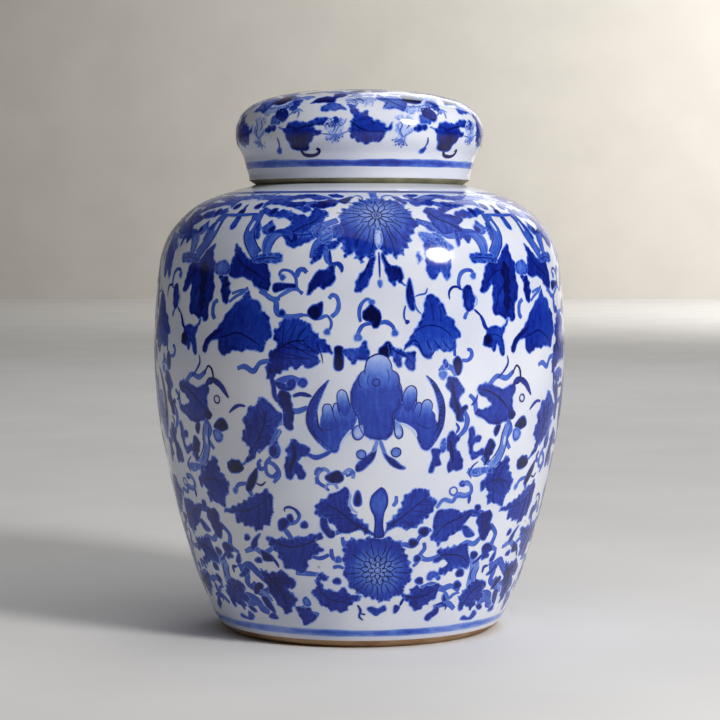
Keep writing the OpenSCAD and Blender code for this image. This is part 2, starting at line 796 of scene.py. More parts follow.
def sum_of(
    tree: bpy.types.NodeTree, first: Term, second: Term, third: Term, operation: str = "MULTIPLY_ADD"
) -> bpy.types.NodeSocket:
    """Adds a math node on sockets or numbers.

    Args:
        tree: the node tree.
        first: first term, a socket or a number.
        second: second term.
        third: third term, or None.
        operation: the node's operation.

    Returns:
        The node's value socket.
    """
    node = tree.nodes.new("ShaderNodeMath")
    node.operation = operation
    for socket, term in zip(node.inputs, (first, second, third)):
        if isinstance(term, bpy.types.NodeSocket):
            tree.links.new(term, socket)
        elif term is not None:
            socket.default_value = term
    return node.outputs["Value"]


def ramp_of(
    tree: bpy.types.NodeTree, value: bpy.types.NodeSocket, stops: list[tuple[float, Color]]
) -> bpy.types.NodeSocket:
    """Adds a colour ramp.

    Args:
        tree: the node tree.
        value: socket that drives the ramp.
        stops: places along the ramp and their colours.

    Returns:
        The ramp's colour socket.
    """
    node = tree.nodes.new("ShaderNodeValToRGB")
    ramp = node.color_ramp
    ramp.elements[0].position, ramp.elements[0].color = stops[0][0], (*stops[0][1], 1)
    ramp.elements[1].position, ramp.elements[1].color = stops[-1][0], (*stops[-1][1], 1)
    for place, color in stops[1:-1]:
        ramp.elements.new(place).color = (*color, 1)
    tree.links.new(value, node.inputs["Fac"])
    return node.outputs["Color"]


def place_in(tree: bpy.types.NodeTree) -> bpy.types.NodeSocket:
    """Returns the socket that gives places on the piece."""
    return tree.nodes.new("ShaderNodeTexCoord").outputs["Object"]


def add_bump(
    tree: bpy.types.NodeTree, height: bpy.types.NodeSocket, strength: float, distance: float
) -> None:
    """Adds a bump node that feeds the shader's normal.

    Args:
        tree: the material's tree.
        height: socket with the surface's height.
        strength: the node's strength.
        distance: the node's distance, in metres.
    """
    bump = tree.nodes.new("ShaderNodeBump")
    bump.inputs["Strength"].default_value = strength
    bump.inputs["Distance"].default_value = distance
    tree.links.new(height, bump.inputs["Height"])
    tree.links.new(bump.outputs["Normal"], tree.nodes["Principled BSDF"].inputs["Normal"])


def glaze_surface() -> bpy.types.NodeTree:
    """Builds the group for a fired glaze's soft ripple and uneven gloss.

    Returns:
        A group with inputs Ripple and Gloss, and outputs Height and Roughness.
    """
    tree = new_group(
        "glaze_surface",
        {"Ripple": 1.0, "Gloss": 0.12},
        {"Height": "NodeSocketFloat", "Roughness": "NodeSocketFloat"},
    )
    given, out = tree.nodes["In"], tree.nodes["Out"]
    place = place_in(tree)
    broad = noise(tree, place, 26.0, 2.0)
    peel = noise(tree, place, 420.0, 2.0)
    both = sum_of(tree, peel, 0.12, broad)
    tree.links.new(sum_of(tree, both, given.outputs["Ripple"], None, "MULTIPLY"), out.inputs["Height"])
    dull = noise(tree, place, 60.0, 4.0)
    tree.links.new(sum_of(tree, dull, 0.08, given.outputs["Gloss"]), out.inputs["Roughness"])
    return tree


def cobalt_wash() -> bpy.types.NodeTree:
    """Builds the group that turns a mark's cobalt into brushed, pooled colour.

    Returns:
        A group with inputs Streak and Mottle, and output Color.
    """
    tree = new_group("cobalt_wash", {"Streak": 0.2, "Mottle": 0.12}, {"Color": "NodeSocketColor"})
    given, out = tree.nodes["In"], tree.nodes["Out"]
    carried = tree.nodes.new("ShaderNodeAttribute")
    carried.attribute_name = "cobalt"
    grain = tree.nodes.new("ShaderNodeUVMap")
    grain.uv_map = "grain"
    stretch = tree.nodes.new("ShaderNodeMapping")
    stretch.inputs["Scale"].default_value = (1.2, 6.0, 1.0)
    tree.links.new(grain.outputs["UV"], stretch.inputs["Vector"])
    streak = noise(tree, stretch.outputs["Vector"], 0.9, 3.0)
    place = place_in(tree)
    pool = noise(tree, place, 75.0, 3.0)
    fleck = noise(tree, place, 520.0, 3.0)
    amount = carried.outputs["Fac"]
    swing = [sum_of(tree, value, 0.5, None, "SUBTRACT") for value in (streak, pool, fleck)]
    streaked = sum_of(tree, swing[0], given.outputs["Streak"], None, "MULTIPLY")
    pooled = sum_of(tree, swing[1], given.outputs["Mottle"], streaked)
    mixed = sum_of(tree, swing[2], 0.16, pooled)
    body = sum_of(tree, sum_of(tree, amount, 1.6, None, "MULTIPLY"), 1.0, None, "MINIMUM")
    final = sum_of(tree, mixed, body, amount)
    color = ramp_of(
        tree,
        final,
        [
            (0.0, (0.735, 0.755, 0.85)),
            (0.14, (0.47, 0.56, 0.86)),
            (0.28, (0.21, 0.32, 0.76)),
            (0.42, (0.060, 0.145, 0.60)),
            (0.58, (0.012, 0.050, 0.43)),
            (0.74, (0.004, 0.018, 0.28)),
            (0.88, (0.002, 0.006, 0.12)),
            (1.0, (0.002, 0.003, 0.042)),
        ],
    )
    tree.links.new(color, out.inputs["Color"])
    return tree


class Groups:
    """The shader node groups, each built once."""

    def __init__(self) -> None:
        """Builds the groups."""
        self.glaze = glaze_surface()
        self.cobalt = cobalt_wash()


def put_group(tree: bpy.types.NodeTree, group: bpy.types.NodeTree, **values: float) -> bpy.types.Node:
    """Places a group in a material.

    Args:
        tree: the material's tree.
        group: the group.
        values: input values.

    Returns:
        The group's node.
    """
    node = tree.nodes.new("ShaderNodeGroup")
    node.node_tree = group
    for label, value in values.items():
        node.inputs[label].default_value = value
    return node


def glazed_shader(
    material: bpy.types.Material, groups: Groups, ripple: float, gloss: float
) -> tuple[bpy.types.NodeTree, bpy.types.Node]:
    """Sets up the glassy, rippled surface that every glazed finish shares.

    Args:
        material: the material to set up.
        groups: the shader node groups.
        ripple: strength of the ripple.
        gloss: roughness where the glaze is at its glassiest.

    Returns:
        The material's tree and its Principled node.
    """
    material.use_nodes = True
    tree = material.node_tree
    shader = tree.nodes["Principled BSDF"]
    shader.inputs["IOR"].default_value = 1.46
    surface = put_group(tree, groups.glaze, Ripple=ripple, Gloss=gloss)
    add_bump(tree, surface.outputs["Height"], 0.35, 0.0006)
    tree.links.new(surface.outputs["Roughness"], shader.inputs["Roughness"])
    return tree, shader


@dataclass(frozen=True)
class WhiteGlaze:
    """Clear glaze over white porcelain, with faint blue shade and a few iron specks.

    Args:
        ground: colour of the clean glaze.
        shade: colour where the glaze lies thick.
        ripple: strength of the surface ripple.
    """

    ground: Color = (0.735, 0.755, 0.835)
    shade: Color = (0.63, 0.665, 0.785)
    ripple: float = 1.0

    def make(self, groups: Groups) -> bpy.types.Material:
        """Makes the finish.

        Args:
            groups: the shader node groups.

        Returns:
            The material.
        """
        material = bpy.data.materials.new("white_glaze")
        tree, shader = glazed_shader(material, groups, self.ripple, GLASSY)
        place = place_in(tree)
        cloud = ramp_of(tree, noise(tree, place, 22.0, 4.0), [(0.35, self.shade), (0.62, self.ground)])
        cells = tree.nodes.new("ShaderNodeTexVoronoi")
        cells.inputs["Scale"].default_value = 95.0
        tree.links.new(place, cells.inputs["Vector"])
        rare = noise(tree, place, 61.0, 1.0)
        reach = sum_of(tree, rare, 0.12, None, "MULTIPLY")
        near = sum_of(tree, cells.outputs["Distance"], reach, None, "LESS_THAN")
        speck = sum_of(tree, near, sum_of(tree, rare, 0.56, None, "GREATER_THAN"), None, "MULTIPLY")
        mix = tree.nodes.new("ShaderNodeMix")
        mix.data_type = "RGBA"
        mix.inputs["B"].default_value = (0.42, 0.42, 0.50, 1)
        tree.links.new(speck, mix.inputs["Factor"])
        tree.links.new(cloud, mix.inputs["A"])
        tree.links.new(mix.outputs["Result"], shader.inputs["Base Color"])
        return material


@dataclass(frozen=True)
class CobaltGlaze:
    """Cobalt painting seen through the clear glaze.

    Args:
        name: the finish's name.
        streak: strength of the bristle marks.
        mottle: strength of the pooled patches.
        ripple: strength of the surface ripple.
    """

    name: str = "cobalt_painting"
    streak: float = 0.3
    mottle: float = 0.36
    ripple: float = 1.0

    def make(self, groups: Groups) -> bpy.types.Material:
        """Makes the finish.

        Args:
            groups: the shader node groups.

        Returns:
            The material.
        """
        material = bpy.data.materials.new(self.name)
        tree, shader = glazed_shader(material, groups, self.ripple, GLASSY)
        wash = put_group(tree, groups.cobalt, Streak=self.streak, Mottle=self.mottle)
        tree.links.new(wash.outputs["Color"], shader.inputs["Base Color"])
        return material


@dataclass(frozen=True)
class BareClay:
    """Unglazed fired clay, toasted in the kiln.

    Args:
        name: the finish's name.
        pale: colour of the clean clay.
        toasted: colour where the fire has caught it.
    """

    name: str
    pale: Color
    toasted: Color

    def make(self, groups: Groups) -> bpy.types.Material:
        """Makes the finish.

        Args:
            groups: the shader node groups; not used.

        Returns:
            The material.
        """
        material = bpy.data.materials.new(self.name)
        material.use_nodes = True
        tree = material.node_tree
        shader = tree.nodes["Principled BSDF"]
        shader.inputs["Specular IOR Level"].default_value = 0.3
        place = place_in(tree)
        fire = noise(tree, place, 70.0, 5.0)
        grit = noise(tree, place, 1400.0, 2.0)
        tree.links.new(
            ramp_of(tree, fire, [(0.32, self.toasted), (0.66, self.pale)]), shader.inputs["Base Color"]
        )
        tree.links.new(sum_of(tree, grit, 0.25, 0.6), shader.inputs["Roughness"])
        add_bump(tree, grit, 0.5, 0.0003)
        return material


class Finishes:
    """Every finish on the jar, made once."""

    def __init__(self) -> None:
        """Makes the materials."""
        groups = Groups()
        self.glaze = WhiteGlaze().make(groups)
        self.cobalt = CobaltGlaze().make(groups)
        self.band = CobaltGlaze("cobalt_band", 0.5, 0.2).make(groups)
        self.foot = BareClay("bare_foot", (0.42, 0.27, 0.15), (0.26, 0.13, 0.055)).make(groups)
        self.rim = BareClay("bare_rim", (0.30, 0.29, 0.17), (0.16, 0.14, 0.08)).make(groups)


# ---------------------------------------------------------------- fired pieces


def turned(name: str, path: np.ndarray, segments: int, bare: np.ndarray) -> bpy.types.Object:
    """Turns a closed line about the jar's axis.

    Args:
        name: the piece's name.
        path: (radius, height) points from the axis round to the axis, or a closed ring.
        segments: number of facets round the piece.
        bare: for each point, whether the face that starts there is unglazed.

    Returns:
        The piece.
    """
    angles = np.arange(segments) * 2 * math.pi / segments
    verts: list[tuple[float, float, float]] = []
    rows: list[list[int]] = []
    for r, z in path * MM:
        if r < 1e-7:
            rows.append([len(verts)] * segments)
            verts.append((0.0, 0.0, z))
            continue
        rows.append([len(verts) + k for k in range(segments)])
        verts += [(r * math.sin(a), -r * math.cos(a), z) for a in angles]
    faces, slots = [], []
    spans = list(zip(rows, rows[1:], bare))
    if path[0, 0] > 1e-7:
        spans.append((rows[-1], rows[0], bare[-1]))
    for low, high, plain in spans:
        for k in range(segments):
            j = (k + 1) % segments
            corners = list(dict.fromkeys((low[k], low[j], high[j], high[k])))
            if len(corners) > 2:
                faces.append(corners)
                slots.append(int(plain))
    mesh = bpy.data.meshes.new(name)
    mesh.from_pydata(verts, [], faces)
    mesh.polygons.foreach_set("material_index", slots)
    mesh.polygons.foreach_set("use_smooth", [True] * len(faces))
    mesh.update()
    piece = bpy.data.objects.new(name, mesh)
    bpy.context.collection.objects.link(piece)
    return piece


def offset_line(profile: TurnedProfile, s: np.ndarray, depth: float) -> np.ndarray:
    """Finds points a given depth inside a turned piece's outer line.

    Args:
        profile: the outer line.
        s: distances along it.
        depth: depth of each point under the surface.

    Returns:
        Radii and heights.
    """
    r, z = profile.at(s)
    out, up = profile.normal(s)
    return np.column_stack([r - out * depth, z - up * depth])


@dataclass
class FiredBody:
    """The jar's body: foot ring, wall, shoulder, seat and neck.

    Args:
        profile: the outer line.
        seat: height of the lid's seat.
        finishes: the jar's finishes.
        wall: thickness of the wall.
        foot: outer radius of the standing face.
        foot_width: width of the standing face.
        recess: depth inside the foot ring.
        base: thickness of the base.
        neck: outer radius of the neck.
        neck_wall: thickness of the neck.
        neck_height: height of the neck above the seat.
        bare_height: height of the unglazed band at the foot.
    """

    profile: TurnedProfile
    seat: float
    finishes: Finishes
    wall: float = 4.6
    foot: float = 65.4
    foot_width: float = 6.0
    recess: float = 4.0
    base: float = 5.5
    neck: float = 47.2
    neck_wall: float = 4.8
    neck_height: float = 24.0
    bare_height: float = 3.4

    def build(self) -> bpy.types.Object:
        """Makes the body, riding on the jar.

        Returns:
            The body, riding on the jar.
        """
        inner_foot = self.foot - self.foot_width
        floor = self.recess + self.base
        fillet = 12.0
        under = [(0, self.recess), (inner_foot - 1, self.recess), (inner_foot, self.recess - 1),
                 (inner_foot, 0.5), (inner_foot + 0.5, 0), (self.foot, 0), (self.foot + 0.8, 0.8)]
        s = np.arange(0, self.profile.length, 1.5)
        outer = np.column_stack(self.profile.at(s))
        bore = self.neck - self.neck_wall
        top = self.seat + self.neck_height
        lip = self.neck_wall / 2
        arc = [(self.neck - lip + lip * math.cos(a), top - lip + lip * math.sin(a))
               for a in np.linspace(0, math.pi, 9)]
        neck = [(self.neck + 6, self.seat), (self.neck + 1.2, self.seat), (self.neck + 0.3, self.seat + 0.3),
                (self.neck, self.seat + 1.2), (self.neck, self.seat + 10), *arc,
                (bore, self.seat + 6), (bore, self.seat - self.wall + 1), (bore + 1, self.seat - self.wall)]
        lined = offset_line(self.profile, s[::3], self.wall)
        lined = lined[(lined[:, 1] > floor + fillet) & (lined[:, 0] > bore + 1.5)][::-1]
        edge = lined[-1, 0] - fillet
        curve = [(edge + fillet * math.cos(a), floor + fillet - fillet * math.sin(a))
                 for a in np.linspace(0.1, math.pi / 2, 7)]
        path = np.vstack([under, outer, neck, lined, curve, [(0, floor)]])
        bare = np.zeros(len(path), bool)
        edge_of_glaze = len(under) + int(np.searchsorted(outer[:, 1], self.bare_height))
        bare[2:edge_of_glaze] = True
        piece = turned("jar_shell", path, 256, bare)
        piece.data.materials.append(self.finishes.glaze)
        piece.data.materials.append(self.finishes.foot)
        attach(piece, "jar")
        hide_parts("jar_body")
        return piece


@dataclass
class FiredLid:
    """The lid: bare rim, skirt and dome.

    Args:
        profile: the outer line.
        seat: height that the rim rests on.
        finishes: the jar's finishes.
        wall: thickness of the wall.
        rim: outer radius of the rim.
    """

    profile: TurnedProfile
    seat: float
    finishes: Finishes
    wall: float = 5.5
    rim: float = 51.1

    def build(self) -> bpy.types.Object:
        """Makes the lid, riding on its own body.

        Returns:
            The lid, riding on its own body.
        """
        s = np.arange(0, self.profile.length - 0.6, 0.8)
        outer = np.column_stack(self.profile.at(s))
        crown = float(self.profile.at(np.array([self.profile.length]))[1][0])
        lined = offset_line(self.profile, s[::3], self.wall)
        lined = lined[(lined[:, 1] > self.seat + self.wall) & (lined[:, 0] > 1)][::-1]
        skirt = lined[-1, 0]
        foot = [(skirt, self.seat + 0.4), (skirt + 0.4, self.seat), (self.rim - 0.3, self.seat),
                (self.rim + 0.2, self.seat + 0.25)]
        ring_path = np.vstack([foot, outer, [(0, crown)]])
        inner = np.vstack([[(0, crown - self.wall)], lined])
        path = np.vstack([inner, ring_path])
        bare = np.zeros(len(path), bool)
        start = len(inner)
        bare[start : start + len(foot)] = True
        piece = turned("lid_shell", path, 224, bare)
        piece.data.materials.append(self.finishes.glaze)
        piece.data.materials.append(self.finishes.rim)
        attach(piece, "lid")
        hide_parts("lid")
        return piece


def painted(
    name: str, marks: list[Mark], wrap: Wrap, finish: bpy.types.Material, body: str, turn: float = 0.0
) -> bpy.types.Object:
    """Makes one painted piece from its marks.

    Args:
        name: the piece's name.
        marks: washes and strokes, flat.
        wrap: how the painting wraps onto the fired piece.
        finish: the piece's material.
        body: name of the body that the piece rides on.
        turn: further turn about the axis, in degrees.

    Returns:
        The piece.
    """
    sheet = Sheet()
    for mark in marks:
        mark.paint(sheet, wrap.grid)
    flat = np.vstack(sheet.points)
    points, normals = wrap.place(flat, np.concatenate(sheet.lifts))
    faces = []
    for f in sheet.faces:
        a, b, c = flat[f[0]], flat[f[1]], flat[f[2]]
        turn_way = (b[0] - a[0]) * (c[1] - a[1]) - (b[1] - a[1]) * (c[0] - a[0])
        faces.append(f if turn_way > 0 else f[::-1])
    corners = [corner for f in faces for corner in f]
    grain = np.vstack(sheet.grain)[corners] * BRISTLE_SCALE
    mesh = painted_mesh(name, points, faces, normals, np.concatenate(sheet.tones), grain, finish)
    return place_copy(name, mesh, body, turn)


def painted_mesh(
    name: str, points: np.ndarray, faces: list, normals: np.ndarray, cobalt: np.ndarray,
    grain: np.ndarray, finish: bpy.types.Material,
) -> bpy.types.Mesh:
    """Makes the mesh of a painted piece.

    Args:
        name: the mesh's name.
        points: its points, in metres.
        faces: corners of each face.
        normals: outward normal at each point.
        cobalt: cobalt that each point carries.
        grain: bristle coordinates of each face's corners.
        finish: the piece's material.

    Returns:
        The mesh.
    """
    mesh = bpy.data.meshes.new(name)
    mesh.from_pydata(points.tolist(), [], faces)
    mesh.polygons.foreach_set("use_smooth", [True] * len(faces))
    carried = mesh.attributes.new("cobalt", "FLOAT", "POINT")
    carried.data.foreach_set("value", cobalt.astype(np.float32).ravel())
    layer = mesh.uv_layers.new(name="grain")
    layer.data.foreach_set("uv", grain.astype(np.float32).ravel())
    mesh.normals_split_custom_set_from_vertices(normals.tolist())
    mesh.materials.append(finish)
    return mesh


def place_copy(name: str, mesh: bpy.types.Mesh, body: str, turn: float) -> bpy.types.Object:
    """Places a painted mesh, turned about the jar's axis.

    Args:
        name: the piece's name.
        mesh: the painted mesh.
        body: name of the body that the piece rides on.
        turn: turn about the axis, in degrees.

    Returns:
        The piece.
    """
    piece = bpy.data.objects.new(name, mesh)
    piece.rotation_euler.z = math.radians(turn)
    bpy.context.collection.objects.link(piece)
    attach(piece, body)
    return piece


# ---------------------------------------------------------------- studio


class LampShape(Enum):
    """The outline of a lamp's face."""

    SQUARE = "RECTANGLE"
    ROUND = "ELLIPSE"


@dataclass(frozen=True)
class Softbox:
    """A soft lamp.

    Args:
        name: the lamp's name.
        azimuth: degrees from the front towards the right.
        elevation: degrees above the jar's middle.
        distance: metres from the jar's middle.
        size: width and height in metres.
        power: watts.
        color: colour of its light.
        aim: point that it faces, in metres from the jar's middle.
        shape: outline of its face.
    """

    name: str
    azimuth: float
    elevation: float
    distance: float
    size: tuple[float, float]
    power: float
    color: Color = (1.0, 1.0, 1.0)
    aim: tuple[float, float, float] = (0.0, 0.0, 0.0)
    shape: LampShape = LampShape.SQUARE

    def place(self, middle: Vector) -> None:
        """Places the lamp and turns it to what it lights.

        Args:
            middle: middle of the jar, in metres.
        """
        lamp = bpy.data.lights.new(self.name, "AREA")
        lamp.shape = self.shape.value
        lamp.size, lamp.size_y = self.size
        lamp.energy = self.power
        lamp.color = self.color
        a, e = math.radians(self.azimuth), math.radians(self.elevation)
        way = Vector((math.sin(a) * math.cos(e), -math.cos(a) * math.cos(e), math.sin(e)))
        stand = bpy.data.objects.new(self.name, lamp)
        stand.location = middle + way * self.distance
        facing = middle + Vector(self.aim) - stand.location
        stand.rotation_euler = facing.to_track_quat("-Z", "Y").to_euler()
        bpy.context.collection.objects.link(stand)


@dataclass
class Studio:
    """Pale floor and wall, soft lamps and the camera.

    Args:
        middle: middle of the jar, in metres.
        lens: focal length in millimetres.
        distance: camera's distance from the axis, in metres.
        eye: camera's height above the floor, in metres.
        tilt: degrees that the camera looks down.
    """

    middle: Vector
    lens: float = 112.0
    distance: float = 1.1185
    eye: float = 0.1939
    tilt: float = 3.125

    def build(self) -> None:
        """Makes the stage, the lamps and the camera."""
        self.surface("floor", (0.84, 0.83, 0.815), (0, 1.0, 0), (0, 0, 0), 16.0)
        self.surface("wall", (0.72, 0.69, 0.64), (0, 6.0, 6.0), (math.pi / 2, 0, 0), 24.0)
        for lamp in (
            Softbox("key", 47, 27, 1.75, (0.42, 0.50), 22.0, (1.0, 0.99, 0.97), shape=LampShape.ROUND),
            Softbox("left_panel", -100, 24, 1.9, (1.5, 0.9), 1.1, (0.86, 0.90, 1.0)),
            Softbox("overhead", 62, 66, 2.6, (3.4, 3.4), 30.0, (1.0, 0.99, 0.98)),
            Softbox("back_panel", 163, 34, 2.4, (1.2, 1.2), 9.0, (0.95, 0.97, 1.0)),
            Softbox("wall_wash", 149, 18, 5.0, (1.6, 1.6), 92.0, (1.0, 0.985, 0.96), (0.5, 6.0, 0.55)),
        ):
            lamp.place(self.middle)
        world = bpy.data.worlds.new("room")
        world.use_nodes = True
        room = world.node_tree.nodes["Background"]
        room.inputs["Color"].default_value = (0.92, 0.95, 1.0, 1)
        room.inputs["Strength"].default_value = 0.045
        bpy.context.scene.world = world
        camera = bpy.data.cameras.new("camera")
        camera.lens = self.lens
        camera.sensor_width = 36.0
        camera.clip_end = 60.0
        stand = bpy.data.objects.new("camera", camera)
        stand.location = (0.0003, -self.distance, self.eye)
        stand.rotation_euler = (math.radians(90 - self.tilt), 0, 0)
        bpy.context.collection.objects.link(stand)
        bpy.context.scene.camera = stand
        bpy.context.scene.view_settings.view_transform = "Standard"

    def surface(self, name: str, color: Color, place: Point, turn: Point, size: float) -> None:
        """Adds a plain surface of the stage.

        Args:
            name: the surface's name.
            color: its colour.
            place: its middle.
            turn: its rotation.
            size: half its side, in metres.
        """
        mesh = bpy.data.meshes.new(name)
        mesh.from_pydata([(-size, -size, 0), (size, -size, 0), (size, size, 0), (-size, size, 0)], [],
                         [(0, 1, 2, 3)])
        material = bpy.data.materials.new(name)
        material.use_nodes = True
        tree = material.node_tree
        shader = tree.nodes["Principled BSDF"]
        shader.inputs["Roughness"].default_value = 0.92
        shader.inputs["Specular IOR Level"].default_value = 0.15
        cloud = noise(tree, place_in(tree), 6.0, 5.0)
        dark = tuple(c * 0.93 for c in color)
        tree.links.new(ramp_of(tree, cloud, [(0.3, dark), (0.7, color)]), shader.inputs["Base Color"])
        mesh.materials.append(material)
        piece = bpy.data.objects.new(name, mesh)
        piece.location, piece.rotation_euler = place, turn
        bpy.context.collection.objects.link(piece)


# ---------------------------------------------------------------- painted motifs


@dataclass
class Motif:
    """A painted motif that repeats round a turned piece.

    Args:
        profile: outer line of the piece it is painted on.
        finish: the painting's material.
        turn: angle of the first repeat's middle, in degrees.
        repeats: number of repeats round the piece.
        body: name of the body that it rides on.
        grid: spacing of the points inside a wash.
        crown: whether the painting lies flat on the crown.
    """

    profile: TurnedProfile
    finish: bpy.types.Material
    turn: float = PANEL_TURN
    repeats: int = BODY_REPEATS
    body: str = "jar"
    grid: float = 2.0
    crown: bool = False
    name: ClassVar[str] = "motif"
    drawing: ClassVar[Drawing] = ()

    def marks(self) -> list[Mark]:
        """Returns the motif's washes and strokes, about its own middle."""
        return list(self.drawing)

    def build(self) -> list[bpy.types.Object]:
        """Paints every repeat of the motif.

        Returns:
            The painted pieces.
        """
        wrap = Wrap(self.profile, self.turn, crown=self.crown, grid=self.grid)
        first = painted(f"{self.name}_1", self.marks(), wrap, self.finish, self.body)
        step = 360.0 / self.repeats
        pieces = [first]
        for k in range(1, self.repeats):
            pieces.append(place_copy(f"{self.name}_{k + 1}", first.data, self.body, k * step))
        return pieces


class Bat(Motif):
    """A bat with spread wings above two small leaves."""

    name = "bat"

    def head(self) -> list[Mark]:
        """Makes the pale head with its drawn outline.

        Returns:
            The pale head with its drawn outline.
        """
        return [
            wash("-6.8 136, -5.7 140.6, -2.8 142.9, 0.3 143.5, 3.4 142.1, 5.2 139.3, 5.9 136.4, 7.8 134.8, "
                 "9 132.2, 8.6 129, 6 126.5, 2 125.5, -3 125.5, -7 126.5, -9.2 129, -9.5 132, -8.6 134.8",
                 0.16, (0, 142, 0, 126.5), 0.6, layer=Layer.OVER, rim=0.04),
            stroke("-6.8 134, -6.6 137, -5.7 140.6, -2.8 142.9, 0.3 143.5, 3.4 142.1, 5.3 139, 5.8 135.5",
                   0.7),
            stroke("5.6 136, 7.8 134.9, 9 132.4, 8.8 129.5, 7.4 128", 0.7),
            stroke("-6.6 136, -8.6 134.9, -9.6 132, -9.2 129.2, -7.8 128", 0.7),
            stroke("-4.6 134.5, -5.6 131.5, -4.8 128.6", 0.6, Tone.MID),
            stroke("3.6 136.5, 4.4 133, 3.6 130", 0.6, Tone.MID), ring(-1.6, 130.6, 1.7, 0.7, Tone.DEEP),
            spot(-1.6, 130.6, 1.0, tone=Tone.FULL, layer=Layer.TOP),
        ]

    def torso(self) -> list[Mark]:
        """Makes the body and the two curled feet.

        Returns:
            The body and the two curled feet.
        """
        body = trace("-7 136, -10.5 132, -12.8 127, -13 122, -11.5 117.5, -9.5 114, -8.8 109.5, -7 106.5, "
                     "-4 104.6, -1.5 103.8, 1.5 103.8, 4.5 104.8, 6 107.5, 6.8 112, 7.2 116, 9.2 119.5, "
                     "10.3 124, 10 128, 8 132, 6.5 135, 3 137.5, -3 138")
        left = trace("-7.8 111.2, -10.5 110.5, -12.3 108, -11.5 105, -9.5 104, -7.5 105.2, -7 107")
        right = trace("7 113, 7 109, 7.5 106, 9 104.4, 10.7 105.5, 10.8 108.5, 9.8 111")
        return [
            Wash(body, 0.68, (0, 106, 0, 134), 0.58, rim=0.2),
            stroke("-9.6 133.5, -12.4 128, -13 122, -11.5 117.5, -9.5 114, -8.8 109.5, -7 106.5, -4 104.6",
                   0.6),
            stroke("8.8 131.5, 10.2 128, 10.3 124, 9.2 119.5, 7.2 116, 6.8 112, 6 107.5, 4.5 104.8", 0.6),
            Wash(left, Tone.PALE, layer=Layer.OVER), Wash(right, Tone.PALE, layer=Layer.OVER),
            Line(left, 0.7), Line(right, 0.7), spot(-9.3, 107, 1.6, tone=0.17, layer=Layer.OVER),
            spot(8.6, 107.4, 1.6, tone=0.17, layer=Layer.OVER),
        ]

    def finger(self, outline: Path, top: float) -> list[Mark]:
        """Makes one finger, drawn round its tip and fading into the wing.

        Args:
            outline: points, from one root over the tip to the other.
            top: height of the tip.

        Returns:
            The finger's marks.
        """
        fade = (0.0, top, 0.0, top - 10.5)
        return [
            Wash(outline, 0.2, fade, 0.68, layer=Layer.OVER, rim=0.0),
            Line(outline[:-2], 0.6, Tone.DEEP, (0.7, 0.4)),
        ]

    def left_wing(self) -> list[Mark]:
        """Makes the left wing with its three fingers.

        Returns:
            The left wing with its three fingers.
        """
        wing = trace("-23.2 131.5 0, -27.5 127.5, -31 122.5, -33 117.5, -33.4 112.5, -31.8 108, -29 104, "
                     "-25.5 100.2, -22.5 98.3, -19.5 97.9, -17.8 100.5, -16 104.5, -13 107.5, -11.5 110.5, "
                     "-10.2 114, -11.5 118.5, -14 120.8, -18 120, -21 118.5, -25.5 116.5, -27.3 111, "
                     "-28.6 115, -28.2 119.5, -26.3 124.5, -24.5 128.3")
        fingers = (
            trace("-13.2 119, -14.2 123, -15.4 126.2, -17.6 127.2, -19.2 125.4, -19.3 121.5, -18 117.5, "
                  "-15.5 115"),
            trace("-18.2 117, -18.9 120.5, -20.4 120.9, -21.3 118.5, -21 115, -19.5 113"),
            trace("-21.3 117, -22.4 120.2, -24.8 120.4, -26 118.2, -25.6 114.5, -24 111.5, -22 111"),
        )
        made: list[Mark] = [Wash(wing, 0.70, (-33, 118, -12, 112), 0.58, rim=0.2, ragged=0.02)]
        web = trace("-12 113, -11.5 117, -13 121, -17 121, -21 119, -25.5 117, -27 112, -24 109.5, -19 110, "
                    "-15 110.5")
        made.append(Wash(web, 0.42, (0, 120, 0, 111), 0.66, layer=Layer.PATCH, rim=0.0))
        for finger, top in zip(fingers, (127.0, 122.0, 121.5)):
            made += self.finger(finger, top)
        made += [
            stroke("-19.3 122, -18.8 118, -17 114.5", 0.6), stroke("-21.2 118.5, -20.8 115, -19 111.5", 0.6),
            stroke("-12.8 108.8, -15 105.8, -17 102.5, -18 99.5", 1.2, Tone.TINT, layer=Layer.OVER),
            stroke("-27.8 109.5, -24.5 108.5, -20 109.5, -17 112", 0.7),
            stroke("-28.6 117, -28 111, -26 107.5", 0.8, Tone.INK),
            stroke("-31.5 113, -29.5 107, -25.5 102.5, -21.5 100", 0.6),
            stroke("-23.2 131.5, -27.5 127.5, -31 122.5, -33 117.5, -33.4 112.5, -31.8 108, -27.5 102", 0.8),
        ]
        return made

